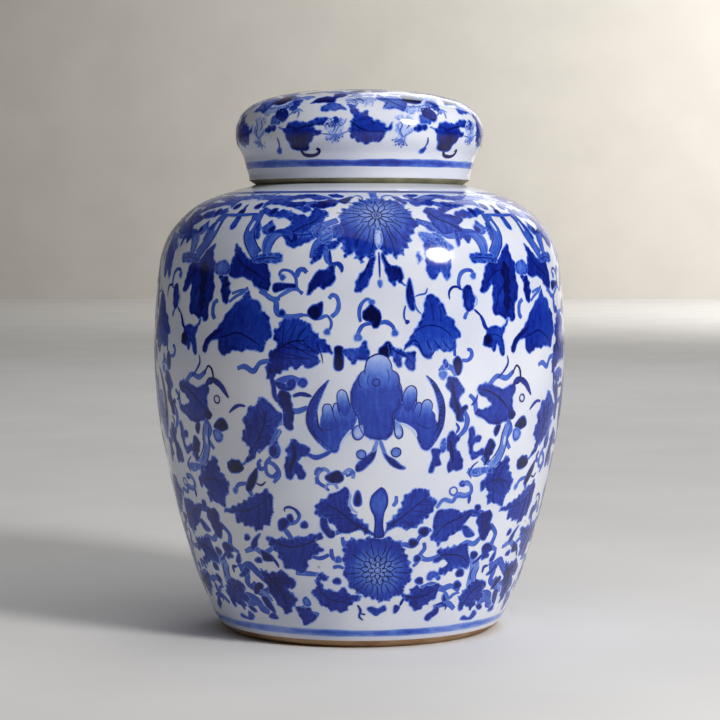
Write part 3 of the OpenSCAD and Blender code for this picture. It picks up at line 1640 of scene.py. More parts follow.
    def right_wing(self) -> list[Mark]:
        """Makes the right wing with its three fingers.

        Returns:
            The right wing with its three fingers.
        """
        wing = trace("22 133.3 0, 25.5 130.5, 29 125, 30.8 120, 31 114.5, 30 109, 28 104.5, 25.5 100.8, "
                     "23 98.6, 20.5 99.2, 18.8 102, 17.2 105.5, 15.5 108.5, 12.5 110.8, 9.5 112, 7.2 113.5, "
                     "6.8 116.5, 8.5 119.5, 10.5 121, 13.5 119, 17.5 118, 21 117.5, 25 115.5, 27.5 111.5, "
                     "28.3 116, 27.6 120.5, 26.3 125, 24.3 129.5")
        fingers = (
            trace("10.3 121.5, 11 124.8, 12.5 127.8, 15 128.9, 17 127.3, 17.3 123.5, 16.3 120.5, "
                  "14.5 117.5, 12.5 117"),
            trace("16.5 119.5, 18.2 121.2, 19.5 120.5, 19.5 117.5, 18.3 115.2, 17 115.5"),
            trace("19.3 118.5, 20.6 121.6, 23 122.3, 24.8 120.5, 24.7 117, 23 114, 20.8 114.2"),
        )
        made: list[Mark] = [Wash(wing, 0.58, (9, 112, 31, 118), 0.70, rim=0.2, ragged=0.02)]
        web = trace("9.5 113, 10 118, 12 121.5, 16 121, 19 119, 23 118.5, 26.5 115, 25 111, 20 110.5, "
                    "14 111.5")
        made.append(Wash(web, 0.42, (0, 121, 0, 112), 0.66, layer=Layer.PATCH, rim=0.0))
        for finger, top in zip(fingers, (128.5, 123.0, 122.5)):
            made += self.finger(finger, top)
        made += [
            stroke("17.4 123, 16.9 119.5, 15 116.5", 0.6), stroke("19.6 118.8, 19 115.5, 17.5 113", 0.6),
            stroke("10 111.8, 13.5 110, 16.5 107.6, 17.6 105", 1.4, Tone.TINT, layer=Layer.OVER),
            stroke("27 110, 23.5 109, 19 110.5, 15.5 113.5", 0.7),
            stroke("28.4 116, 28 110, 25.5 105.5", 0.8, Tone.INK),
            stroke("22 133.3, 25.5 130.5, 29 125, 30.8 120, 31 114.5, 30 109, 27 103", 0.8),
        ]
        return made

    def tail(self) -> list[Mark]:
        """Makes the two leaves and berries under the bat.

        Returns:
            The two leaves and berries under the bat.
        """
        return [
            wash("-1.5 100.5, -4 97.5, -7.5 95, -10.5 91.5, -10.2 89, -8 89.3, -4.5 92.3, -2 95.5, "
                 "-1.2 98.5", Tone.DEEP),
            wash("0.8 102.5, 2.3 99.5, 4 96.5, 7 94.8, 10 92, 12.4 90.3, 9.5 90, 6 91.8, 3.5 94.8, 2 98",
                 Tone.DEEP),
            stroke("-0.8 104, -1.5 101, -3 98", 2.2, Tone.LIGHT),
            stroke("0.5 104, 1.5 101, 3 97.5", 2.0, Tone.LIGHT), spot(-8, 97.2, 2.1, tone=Tone.LIGHT),
            ring(-8, 97.2, 2.1, 0.6), spot(8, 98, 2.2, tone=Tone.LIGHT), ring(8, 98, 2.2, 0.6),
        ]

    def marks(self) -> list[Mark]:
        """Returns the whole bat."""
        return [*self.left_wing(), *self.right_wing(), *self.torso(), *self.head(), *self.tail()]


class Crest(Motif):
    """The scrolled leaves and the dark bud over the bat."""

    name = "crest"
    drawing: ClassVar[Drawing] = (
        wash("-20.5 146.3, -18.5 147.2, -16.8 146.3, -16.6 143.5, -16.4 140, -16.8 137, -18.3 135.8, "
             "-20.2 136.5, -20.8 139, -20.5 143", Tone.INK),
        wash("-16.8 145.6, -13 145.8, -9 147, -7.6 149, -6 149, -5.3 146, -4.5 142.8, -5.6 140.4, "
             "-7.5 140.7, -9.5 141, -11.2 139.3, -12.8 138.7, -13.5 140.5, -15 142, -16.6 143", Tone.MID,
             rim=0.22),
        wash("-0.3 145.5, 0.3 142.3, 2.2 141.5, 4.5 142.5, 5.5 145.5, 5 148.3, 3.4 149, 1.5 147", Tone.INK),
        wash("4 148.2, 7 146.5, 10.5 145, 13.5 144, 15.5 144.8, 16.8 144, 16.5 140.5, 16.6 137.5, "
             "15.2 135.7, 13 136.3, 11.8 139, 12 141.5, 10.3 141.6, 10 138.5, 8.5 137.2, 7 139, 6 142, "
             "4.5 142.8", 0.55, rim=0.24),
        wash("-5.5 164.5, -3.5 166, -2 165, 0 162.5, 1 160, 0 157, -2.5 155.5, -4.5 158, -7.8 160, -7 163",
             Tone.INK),
        vine("-16 144.5, -12 144.3, -9 142.5, -6.5 141.8", 1.3),
        stroke("5.5 146, 9 143.6, 12.5 142.3, 15.5 139", 0.8),
        vine("-8.7 158, -9.3 162, -8.3 166, -5.5 168.5, -3.5 167", 1.5, 1.5),
        vine("-4 157.5, -7.5 156.5, -9.5 153.5, -9.8 151", 1.7, 1.9),
        vine("0 157.5, 3 158, 6 156, 7 153", 1.7, 1.6),
    )


class BigLeaves(Motif):
    """The large leaves and buds over each of the bat's wings."""

    name = "big_leaves"
    drawing: ClassVar[Drawing] = (
        # The ribbed leaf over the right wing.
        wash("24.5 170.4, 26.5 169.6, 29 167, 31.3 164, 31.8 161, 34 160, 35.6 158.5, 35.7 156.5, "
             "37.5 154.8, 39 153, 38.8 150.8, 37 150, 36.5 147.5, 36 145, 33 144.2, 30.5 144, 28 145.3, "
             "25.5 144, 23.5 141, 21.5 141.2, 19.8 143.2, 18.5 145, 17 146.5, 14.5 147.5, 12.5 146, 11 145, "
             "12 147.5, 14.5 151.5, 17.5 156, 20 161, 21 166, 22 170", 0.66, (24, 168, 26, 146), 0.54,
             rim=0.2),
        stroke("14 150.5, 17 154, 21 156, 26 156.2, 30.5 154.5, 34 151.5, 36.3 148.5"),
        stroke("11 145, 14 149, 17 149.3, 18.5 147, 18.8 144.5", 0.8),
        stroke("18.5 145.5, 21 142.8, 24.5 142.8, 26 145.5"), stroke("22 149.5, 23 147, 24.5 144.8"),
        stroke("25.5 150, 27 147.5, 29.5 145.5"), stroke("30 149.5, 31.5 147, 34 145.2"),
        stroke("23.5 167.5, 25 162.5, 25.5 157.5", 0.6), stroke("28 165.5, 29 161, 28.5 157", 0.6),
        # The broad leaf over the left wing.
        *ribbed(wash("-42 159.5, -38 159.8, -34 158.5, -31 155, -28 151.5, -25 149.5, -22.5 146.5, "
                     "-21.3 144, -23.5 143.8, -26 144.5, -28 142.5, -28 139.5, -30 137.3, -32.5 136.8, "
                     "-35 138.5, -37.5 136.3, -40.5 137.3, -43.5 136, -46.5 134.5, -49 133, -52 131.5, "
                     "-53.3 135, -52.5 138.5, -51.8 143, -49 145.5, -48 148.5, -49.5 151, -49.3 154, "
                     "-47 155.5, -45.5 158.5", 0.86, (-50, 137, -36, 146), 0.64, rim=0.16),
                     trace("-51 141, -46 146, -40 149, -33 149.5")),
        *[Line([(x, 147.5 + 0.1 * (x + 40)), (x + 2.5, 143), (x + 3.2, 139)], 0.6) for x in (-46, -40,
          -34.5, -29)],
        stroke("-44 149.5, -42.5 153.5, -40 156.5", 0.6), stroke("-38 150, -36.5 153, -34.5 155", 0.6),
        # The buds and tendrils beside the right leaf.
        wash("14 178, 12.8 174.5, 12.3 170.5, 13 166.5, 14.5 163.5, 16 163.2, 16.6 166, 16 170, 15.2 174",
             Tone.DEEP),
        wash("40.3 172.5, 42.2 174.6, 44.3 174, 45.8 171.5, 46.8 168.5, 46.5 165, 44.8 162.6, 42.8 162.2, "
             "41 165, 40.5 169", 0.75, rim=0.2),
        wash("36 141, 37.5 142, 39.5 140, 39.8 137, 38.8 133.7, 37.2 133.2, 35.8 136, 35.3 139", 0.85),
        stroke("16.5 169.5, 18.5 170.3, 21.5 171, 22.5 173.5", 1.0, Tone.SOFT),
        stroke("16 167, 17.5 163.5, 19.5 161.5", 0.9, Tone.SOFT),
        stroke("12 165.5, 11.3 162, 11.5 159.5, 12.8 158", 1.0, Tone.MID, blob=1.1),
        stroke("46 170.5, 47.8 168.8, 48 166, 46.5 164.5", 1.0, Tone.PALE),
        stroke("40.2 172.3, 37.5 173.8, 34.8 173.5, 33.2 171.2, 33.5 168", 1.3, Tone.FULL),
        vine("39 172.5, 38.2 176, 39.6 180, 42.5 181.5, 45.5 181, 46.2 178.8", 1.7, 1.6),
        vine("43 162.3, 41.7 160.5, 41.3 158.8", 1.7), stroke("46.5 163.3, 48.8 161.5, 50.5 160", 1.2),
        vine("39.8 140, 43 140, 45 142, 44.5 144.5, 42.5 145", 1.7), vine("36 142, 35.8 146", 1.4),
        wash("29.8 139.5, 31 141, 33 138, 31.5 136", Tone.LIGHT, rim=0.3),
        spot(30, 133.5, 2.2, tone=Tone.SOFT),
    )


class VineLoops(Motif):
    """The thin looping vines, drops and the dark cluster between the big leaves."""

    name = "vine_loops"
    drawing: ClassVar[Drawing] = (
        # The loops on the left.
        wash("-49 175.3, -44 175.5, -38.5 175, -38 173.6, -42 173.3, -46 172, -49 171.3, -50 173", 0.85),
        wash("-26.2 167.2, -26 164, -27 160.5, -29.3 158.9, -32 160.3, -33 162.8, -31 165.2, -28.5 166",
             Tone.INK),
        wash("-21.3 184, -20.2 181, -20.5 176.5, -23 174.5, -25.5 173, -28 174, -31 171.5, -33.2 170.5, "
             "-32.3 174, -30.5 178.5, -28 181, -24.5 182", 0.88),
        vine("-35.5 170.5, -38 174, -38.5 178, -41 181, -45 181.5, -46.5 179.5, -45 178.2", 1.3, 1.5),
        vine("-38.2 178.5, -37 181.3, -34.8 182, -33.2 180.3", 2.2),
        vine("-35 171, -39 173, -43 171.5, -47.5 168.5, -48.8 164, -47.5 161, -44.5 160.3", 1.5),
        spot(-45.3, 161.8, 1.6, tone=Tone.INK),
        vine("-38.5 160.8, -33 161, -28 159.5, -24 160.8, -22 158, -22.5 155, -24 153.5", 1.3, 1.5),
        vine("-22 160.3, -19.5 162.5, -18.5 166, -19.5 169.5, -21.5 170.3, -23 168.5", 1.8),
        stroke("-21.5 184.5, -18.5 184.5, -17 182.5, -17 180.5", 2.2, Tone.FULL),
        stroke("-22.5 191, -22.3 187, -22 184", 1.6, Tone.FULL),
        # The cluster on the right.
        wash("53.5 153.5, 56.5 155.5, 60 155.3, 63.5 155, 66 157.5, 67.5 158.5, 65.5 154.5, 64 152, "
             "63.5 149, 64.8 145.5, 64.5 142.3, 63.2 141.5, 61.5 143, 60.8 146.5, 59.8 147.5, 59.3 144.5, "
             "57.5 143.7, 55.8 145.5, 54 146, 52 146.5, 51.6 148.8, 53 151", Tone.MID, rim=0.24),
        spot(54.3, 148.8, 2.9, layer=Layer.OVER),
        stroke("50 160.5, 51.5 158, 52.5 155.5, 54.5 153.5", 2.2, Tone.FULL),
        stroke("55 151, 59 151.5, 63 149, 64 144", 0.6),
    )


class UpperLotus(Motif):
    """The open lotus on the shoulder, with its knob, curls and hanging leaves."""

    name = "upper_lotus"

    def flower(self) -> list[Mark]:
        """Makes the flower with its fine petal lines and seed head.

        Returns:
            The flower with its fine petal lines and seed head.
        """
        rim = trace("-1.8 224, -4 222.5, -6 222.5, -8 220.5, -10 219, -11.5 216.5, -13.5 215, -15.5 213.5, "
                    "-16.5 210.5, -17 207, -18.5 203.5, -19.5 201, -19.5 197.5, -17.5 195, -16.5 192, "
                    "-16 188.5, -14 188, -12.5 190, -11 189, -9.5 186, -8.5 184.5, -7.5 186.5, -6 187.5, "
                    "-4.5 186.5, -2 190, 0 191, 3 189.5, 6 188.5, 8 187.5, 9.5 188.5, 11.5 190, 13 192.5, "
                    "14.5 195, 16 200, 19 203, 18.5 205.5, 17 209, 15 213, 13 217, 11 220, 8 222, "
                    "4.5 222.5, 1.8 224.5")
        petal = trace("0 191.5, -1.5 194, -1.6 198.5, 0.4 204, 1.8 199, 2 195")
        rays: list[Mark] = []
        for k in range(30):
            a = math.radians(k * 12)
            reach = (13.0, 17.0, 14.5, 18.5, 15.5)[k % 5]
            low = math.cos(a) < 0
            far = (reach * math.sin(a), 210 + reach * math.cos(a) * (1.25 if low else 0.85))
            near = (8.2 * math.sin(a), 210 + 8.2 * math.cos(a))
            middle = ((near[0] + far[0]) / 2 + 0.7 * math.sin(2 * k), (near[1] + far[1]) / 2)
            rays.append(Line([near, middle, far], 0.5, Tone.INK, (0.9, 0.5)))
        return [
            Wash(rim, 0.66, core=(0, 210, 17.0, 0.27), rim=0.22, ragged=1.3), *rays,
            *petals(0, 210, 2.6, 8.4, 12), Wash(petal, Tone.TINT, layer=Layer.LINE, rim=0.3),
            ring(0, 210, 2.3, 0.5, Tone.INK), ring(0, 210, 1.2, 0.45, Tone.INK),
            spot(0, 210, 0.6, tone=Tone.DEEP, layer=Layer.TOP),
        ]

    def trimmings(self) -> list[Mark]:
        """Makes the knob, the curls and the leaves that hang under the flower.

        Returns:
            The knob, the curls and the leaves that hang under the flower.
        """
        return [
            wash("-1.6 224, -1.8 229, -2.3 231, -0.3 233.2, 1.6 231.3, 1.3 228.5, 1.6 224", 0.42, rim=0.25),
            wash("-3.5 190, -4.5 185.5, -7 181.5, -9.5 178.5, -11 174.5, -11 171.5, -8.5 172, -6 174, "
                 "-4 178, -2.5 183, -2 188", 0.74),
            wash("1.5 190, 3 187, 5.5 184, 8.5 183, 10 182.5, 11 179.5, 10.5 176.5, 12.5 174.5, 10 175.5, "
                 "8 177, 7 174.5, 4.5 177, 3 181, 1.8 186", 0.82),
            stroke("-5.5 222, -5.8 225, -7.5 227.2, -9.8 226", 1.3, Tone.LIGHT),
            stroke("3.5 222.5, 4 226, 6.5 227.5, 9.5 226.5", 1.3, Tone.LIGHT),
            spot(0.3, 175.5, 1.0, 1.8, tone=Tone.FULL), stroke("0 190, 0.2 184, 0.3 178", 1.0, Tone.FULL),
            stroke("-4 187, -6.5 181, -9.5 175", 0.6, Tone.INK),
            stroke("2.5 187, 6 181, 8.5 178", 0.6, Tone.INK),
        ]

    def marks(self) -> list[Mark]:
        """Returns the whole flower."""
        return [*self.trimmings(), *self.flower()]


class ShoulderLeaves(Motif):
    """The leaves on either side of the upper lotus."""

    name = "shoulder_leaves"
    drawing: ClassVar[Drawing] = (
        # The leaves on the left.
        wash("-31.5 209, -34 210.5, -38 210.8, -41.5 210, -42.5 208, -40.5 206, -41 203.5, -44 201.5, "
             "-45.5 200, -44 197, -43 194, -40 192, -36.5 193, -32 195, -28 197.5, -26.5 200, -25.5 204, "
             "-23.5 209, -22.5 212.5, -25 213, -27.5 216, -29.5 213.5", 0.64, rim=0.22),
        wash("-31.2 216.5, -28 219.5, -24 221.5, -20 222.8, -18 222.5, -17.8 219, -19.5 216.5, -24 215, "
             "-28 214.5", 0.8),
        wash("-17 221, -14 224, -11.5 225.3, -11 223, -13 219.5, -14 218.5", 0.9),
        wash("-27.5 196, -25 200, -22 203, -21 201, -21 196.5, -23 193.5", 0.35, rim=0.28),
        wash("-30.5 187, -31 184.5, -28 186, -24 190.5, -19 192.5, -17.5 194.5, -21 195.5, -26 194, "
             "-29.5 191", 0.65, rim=0.2),
        spot(-40, 197, 2.6, layer=Layer.OVER), vine("-28 212, -24 213, -22.5 209", 1.5),
        stroke("-41 199, -35 203, -29 206, -26 210", 0.7, Tone.INK), stroke("-37 194, -35 199, -34 203", 0.5),
        stroke("-39 209, -36 206, -34 203.5", 0.5),
        # The leaves on the right.
        wash("25 215.5, 28 215, 32 212.5, 36 210.5, 40 210, 42.5 208, 41.5 205.5, 40 204, 41.5 202, "
             "45 201.5, 46 198, 45 194.5, 43 195, 41 198, 38.5 200, 34 198.5, 30 199.5, 27 202.5, 25.5 206, "
             "24 210, 22.5 213.5", 0.58, rim=0.24),
        wash("36.5 201, 37.5 196, 38.5 192.5, 39.7 193.5, 39.5 198, 38.5 202", 0.62),
        wash("16.5 219, 18.5 223.5, 22 224.5, 26 223.5, 29 219.5, 27 217, 22.5 217.5, 19 216.5", 0.62,
             rim=0.2),
        wash("14.5 228, 17 227.5, 18.5 225, 18 222", Tone.FULL),
        wash("8.5 226, 11 225.5, 13.5 221.5, 15 219, 13.5 218, 11 221", Tone.FULL),
        # These four leaves lie where the key light's highlight falls: the soft and light tones of three of
        # them are partly their own pale wash and partly a painted highlight.
        wash("21.5 206, 25 203.5, 28 200.5, 25 200.5, 22.5 203", Tone.SOFT),
        wash("19.5 200, 24 199.5, 28 197.5, 31.5 193, 31 190.5, 28.5 193.5, 25 195.5, 21.5 197", Tone.LIGHT),
        wash("22 196, 30 196, 34 190, 34 180, 32 176.5, 29.5 181, 26.5 177.5, 23 179, 22 184", Tone.MID,
             rim=0.2),
        *ribbed(wash("17.5 189, 19 190, 20 186, 18.5 184.5", Tone.LIGHT),
                trace("24 213, 29 208, 35 205, 42 200")),
        stroke("31 206.5, 33 203, 34 200", 0.5), stroke("28 209, 33 210, 37 208.5", 0.5),
        stroke("23.5 194, 27.5 188, 32.5 181", 0.6, Tone.INK),
    )


class StrapWork(Motif):
    """The double straps and bars that hang from the shoulder between the panels."""

    name = "straps"

    def strap(self, path: Path, core: Path, flat: tuple[Path, Path]) -> list[Mark]:
        """Returns one strap with drawn edges, a pale core and its flat bar.

        Args:
            path: the strap's middle line.
            core: the pale line down its middle.
            flat: outline of the bar at its foot and the line along it.

        Returns:
            The strap's marks.
        """
        curve = spline(path, False, 1.5)
        along = np.gradient(curve, axis=0)
        side = np.column_stack([-along[:, 1], along[:, 0]]) / np.linalg.norm(along, axis=1)[:, None] * 2.6
        return [
            Line(path, 6.0, 0.5, (0.9, 0.9), Layer.WASH),
            Line([tuple(p) for p in curve + side], 0.6, Tone.DEEP, (0.8, 0.8)),
            Line([tuple(p) for p in curve - side], 0.6, Tone.DEEP, (0.8, 0.8)),
            Line(core, 1.6, Tone.TINT, layer=Layer.OVER), Wash(flat[0], 0.46, rim=0.28), Line(flat[1], 0.6),
        ]

    def hook(self) -> list[Mark]:
        """Makes the bud, stem and arm beside the left strap.

        Returns:
            The bud, stem and arm beside the left strap.
        """
        return [
            wash("-20 207.3, -22 205, -24.5 202.5, -24 199.5, -21 198.6, -18.5 200, -17.3 202.5, "
                 "-18.8 205", Tone.SOFT, rim=0.25),
            spot(-22.8, 201.5, 1.8, layer=Layer.OVER),
            stroke("-22.5 198.8, -22 195, -22.5 191, -23 189", 3.0, 0.45),
            stroke("-24 200, -28 200.3, -33 199, -35 196", 2.0, Tone.MID), spot(-17.8, 212.5, 1.8, 3.0),
        ]

    def top_leaf(self) -> list[Mark]:
        """Makes the split leaf over the left strap.

        Returns:
            The split leaf over the left strap.
        """
        return [
            wash("-10 215.5, -13 218, -19 217.5, -25 216, -30 216.5, -31.5 219, -29 220.5, -24 220.5, "
                 "-21 221.5, -26 224, -30 226, -30 228.5, -26 229, -20 227.8, -14 227.8, -10.5 228.5, "
                 "-9.5 224, -9 219", 0.55, (-10, 222, -28, 222), 0.68, rim=0.22),
            stroke("-10 222, -16 222.5, -22 219", 0.6), stroke("-14 223, -20 225, -27 227.5", 0.6),
        ]

    def marks(self) -> list[Mark]:
        """Makes the straps, hooks and top leaves.

        Returns:
            The straps, hooks and top leaves.
        """
        left = self.strap(
            trace("-10.5 211, -11.5 207, -11.3 202, -12.5 197, -15.5 192.5, -19 188.5"),
            trace("-11.3 206.5, -11.2 200.5"),
            (trace("-32 189, -22 189.3, -17 187.5, -17 185, -22 184.8, -32 185.2"),
             trace("-31 187, -24 187.2, -18 186.2")),
        )
        petal = trace("-1.5 209.5, -2 206, -2 203, -0.3 201.3, 1.5 202.5, 1.8 206, 1.3 209.5")
        half = [*left, *self.hook(), *self.top_leaf(), spot(-6.8, 217, 2.0, 2.5)]
        return [
            *half, *mirrored(half), stroke("-11 211, -1 210.5, 8 211, 11 211.3", 2.2, 0.55),
            spot(-0.5, 212, 2.2, 3.5, layer=Layer.OVER), Wash(petal, Tone.MID),
            stroke("-0.5 214, -0.3 218.5", 1.8, Tone.MID),
            stroke("-10 232.5, -7 229.5, -3 227.5, 0.5 226.8, 3.5 224.8", 1.8, 0.4),
            stroke("9 231, 6 228.5, 2 229", 1.5, 0.4), spot(-4, 224, 1.4, tone=0.35),
            spot(2.5, 223.5, 1.4, tone=0.35),
            wash("-4.5 180, -4.5 184.5, 0 186, 4 184.5, 4.5 180, 0 178.8", 0.45, rim=0.25),
        ]


class HangingLeaves(Motif):
    """The dark leaves under the straps, and the long leaf that sweeps down from them."""

    name = "hanging_leaves"
    drawing: ClassVar[Drawing] = (
        # The left hanging leaf and its ink stroke.
        wash("-20.5 186, -24 184, -26 179, -28 174.5, -28.8 171.5, -26.5 170.8, -23.5 173.5, -21.5 174.5, "
             "-21.7 170, -21.8 165, -22 161.5, -19.5 160.3, -17 160.2, -14.5 158.3, -12 159.3, -10 157.3, "
             "-8 158, -7.8 162, -7 166.5, -5.3 168, -4.5 171, -4.3 174.5, -5.5 178, -5 180.5, -4.5 184, "
             "-6.5 187, -7.5 191, -7.5 193.8, -10.5 192, -14 188.5, -17 186", 0.74, rim=0.15),
        *ribbed(wash("-12 186, -15 182, -14 175, -15 168, -13.5 161, -11 164, -10.5 172, -9.5 180", 0.92,
                     layer=Layer.OVER, rim=0.04), trace("-13 176, -18 170, -20 164")),
        stroke("-12 170, -8 164, -8.5 160", 0.6, Tone.INK),
        stroke("-14 182, -20 180, -25 175", 0.6, Tone.INK),
        # The right hanging leaf, the small ear and the thin vines.
        wash("6 193.8, 6.5 189, 5 185, 4 182, 4.3 179, 9 178, 14 178, 18 176, 20 174, 24 172.5, 27 172.5, "
             "27.5 176, 26.5 181, 24.5 185.5, 20 187, 17.5 186, 14 187.5, 10 191", 0.76),
        *ribbed(wash("-1 179, 4 177.5, 5.5 173, 5.3 168, 3.5 166.2, 1.2 167, 0.8 171, 0 175", 0.85),
                trace("7 189, 12 184, 18 181, 25 177")),
        vine("-1.5 167.5, -4 165.5, -4.5 161, -3 158.5", 2.1),
        vine("5.5 166.5, 9 169, 13 171, 16 173.5", 1.4), vine("7 170.5, 10 171.5, 14 172.5", 1.3),
        vine("24 173, 26 170, 29 168.3, 33 168.5", 2),
        # The long leaf below.
        wash("16 172, 19 168, 22.5 167, 24 163, 27.5 160.5, 28.5 156, 29.5 152, 27 148.5, 24.5 144, "
             "21 144.5, 17.5 145, 13 143.8, 9 144.5, 6 143, 3.5 142, 1 142.5, -0.5 146, -0.8 149, -4 149, "
             "-7 146, -9.5 142.3, -10.8 144.5, -9 148, -5 151.5, -1 154.5, 2 158, 5 162, 9 165.5, "
             "13 168.5", 0.72, (6, 146, 22, 164), 0.64, rim=0.18),
        stroke("-10.5 143, -8 148, -3 151.5, 2 154", 2.8, 0.9),
        stroke("-1 149.5, 5 151, 11 152.5, 18 150, 24 146.5", 0.8, Tone.INK),
        stroke("11 152.5, 14 158, 17 166", 0.6), stroke("6 151.5, 8 157, 10 162", 0.5),
        stroke("17 151, 20 156, 23 160", 0.5), stroke("8 151, 9 148, 9 146", 0.5),
        stroke("15 151.5, 16 148, 16.5 146", 0.5),
    )


class RightVine(Motif):
    """The vine to the right of the bat: chained leaves, a winged leaf and a strap."""

    name = "right_vine"
    drawing: ClassVar[Drawing] = (
        # The curved strap, its bar and the broken leaf at its foot.
        stroke("68 109, 66 104, 65 98, 62 93, 57 89", 4.0, Tone.LIGHT, (0.9, 0.9), Layer.WASH),
        stroke("70 109, 68 104, 67 98, 64 92, 58.5 87.5", 0.7),
        stroke("66 109, 64 104, 63 99, 60 94.5, 56 91", 0.7),
        stroke("66.3 103.5, 65.6 99", 1.4, Tone.TINT, layer=Layer.OVER),
        wash("47 88.5, 55 89, 60 88.5, 60 86, 53 86, 47 86", 0.42, rim=0.28),
        wash("60.5 109, 63 109, 62 106, 60 103.8, 58.8 106", 0.8),
        *ribbed(wash("69.5 93.5, 67 92.5, 63 90, 59 88, 56.5 87, 54.5 84, 52.5 81, 51.5 78, 53.5 77.5, "
                     "56 78.5, 57 76, 56.5 72, 58 70.5, 61 71, 64 69.5, 67 69.3, 69 72, 70.5 75, 73 77.5, "
                     "74 80.5, 72.5 84.5, 70.5 87, 70 90.5", 0.7, rim=0.18),
                     trace("54 80, 60 82, 66 82, 71 80")),
        stroke("60 72, 61 77, 62.5 82", 0.6), stroke("68 73, 67 78, 67.5 82", 0.6),
        stroke("63 82, 66 87, 68.5 91", 0.6),
        wash("73 108, 76 111, 80 112, 82 108, 78 106, 75 106.5", Tone.INK),
        wash("72 106, 75 107, 78 104, 76 101, 73 100.5, 71.5 103", Tone.LIGHT, rim=0.28),
        # The two dark leaves beside the wing and the small pieces between them.
        wash("32 130, 33 132.5, 35.5 132.5, 38 131, 40 128.5, 41 126, 39.5 124, 38.5 121.5, 39.5 118.5, "
             "42 119.5, 43 117.5, 41 115.5, 41 112, 39.5 111.3, 37 113, 36.5 116, 35 117.5, 33.5 119, "
             "34 121.5, 34 125, 32 127.5", 0.76),
        stroke("34.5 130, 36 123, 38 117, 38.5 112.5", 2.3, 0.93),
        wash("33 105, 35.5 107.3, 37.5 105.5, 39.3 104, 37.5 101.5, 37.5 98.5, 39.5 96.5, 41 93.5, 41.3 90, "
             "39.5 88.3, 36.5 88.5, 34 87.8, 32.8 90, 34 93, 34.5 97, 32.5 99, 32 102", 0.74),
        stroke("34 103, 35 98, 36 92", 2.2, 0.93),
        wash("30 103.5, 32 104, 32.5 99.5, 30.5 97, 29 99", Tone.SOFT),
        wash("25 99, 29.8 98.5, 28.8 95.5, 29.8 91.5, 26.8 90.5, 25.8 88, 23.8 88, 24.5 91.5, 25.5 95",
             Tone.FULL),
        wash("44 108, 45.5 109, 47.5 107, 47.3 104, 49 105, 51 104, 50.5 101.5, 48 101, 46.5 99.5, "
             "46.5 97.5, 48.5 97, 53 98, 53 95, 50 94.5, 48 93, 46 93.5, 44.8 96.5, 44 101, 44 105",
             Tone.MID, rim=0.2),
        wash("53 97, 55 100.5, 57 102.5, 59 101.5, 59.8 98.5, 58.5 96, 57 94, 56 91.5, 54 90, 53.5 93", 0.86),
        stroke("37 111, 38.5 108.5, 37 106", 1.6, Tone.MID),
        # The winged leaf and the loop that curls off it.
        wash("50 128.3, 54 129, 59 127.5, 63 126, 67 126.8, 71 127.5, 73 126, 71 122.5, 70.5 119, 71 115.5, "
             "69.5 112, 65 110.3, 60 109, 55 110.5, 51.5 112.5, 49 114, 46.8 115.3, 48.5 117, 52 117, "
             "55 117.8, 57 118.5, 55 121, 52 123, 49.3 124, 48.5 126", 0.66, rim=0.2),
        spot(70.5, 113.5, 2.5, layer=Layer.OVER), stroke("50 126.5, 57 124.5, 64 120, 69 115", 0.8, Tone.INK),
        stroke("56 124.5, 61 125.5, 66 124.5", 0.5), stroke("58 112.5, 61 116, 64 119.5", 0.5),
        stroke("70 126, 74 130, 80 128, 85 122", 3.0, 0.8),
        stroke("70 132.5, 73 136.5, 75.5 134.5, 75.8 130, 73.5 128, 71.5 130", 1.2, 0.9),
        ring(77.5, 121, 1.8, 0.8), stroke("60 131, 64 134, 67 138, 66.5 141.5", 1.2, Tone.FULL),
        stroke("45 119, 47.5 121, 48.5 124", 1.4, Tone.MID),
        # The curls under the vine.
        stroke("41 81.5, 44 82.8, 46.8 80, 46.5 76.5, 43 75, 39 75.5, 36 73, 32 74.5, 28 70.5", 1.5, 0.45),
        ring(36.8, 78.3, 2.0, 0.9, Tone.SOFT), stroke("46 76, 45.5 71.5", 2.0, Tone.MID),
        spot(41.5, 81.5, 1.4), spot(51, 69, 1.8), stroke("50 92, 47 90, 45 86.5, 46.5 84", 1.1, Tone.MID),
    )


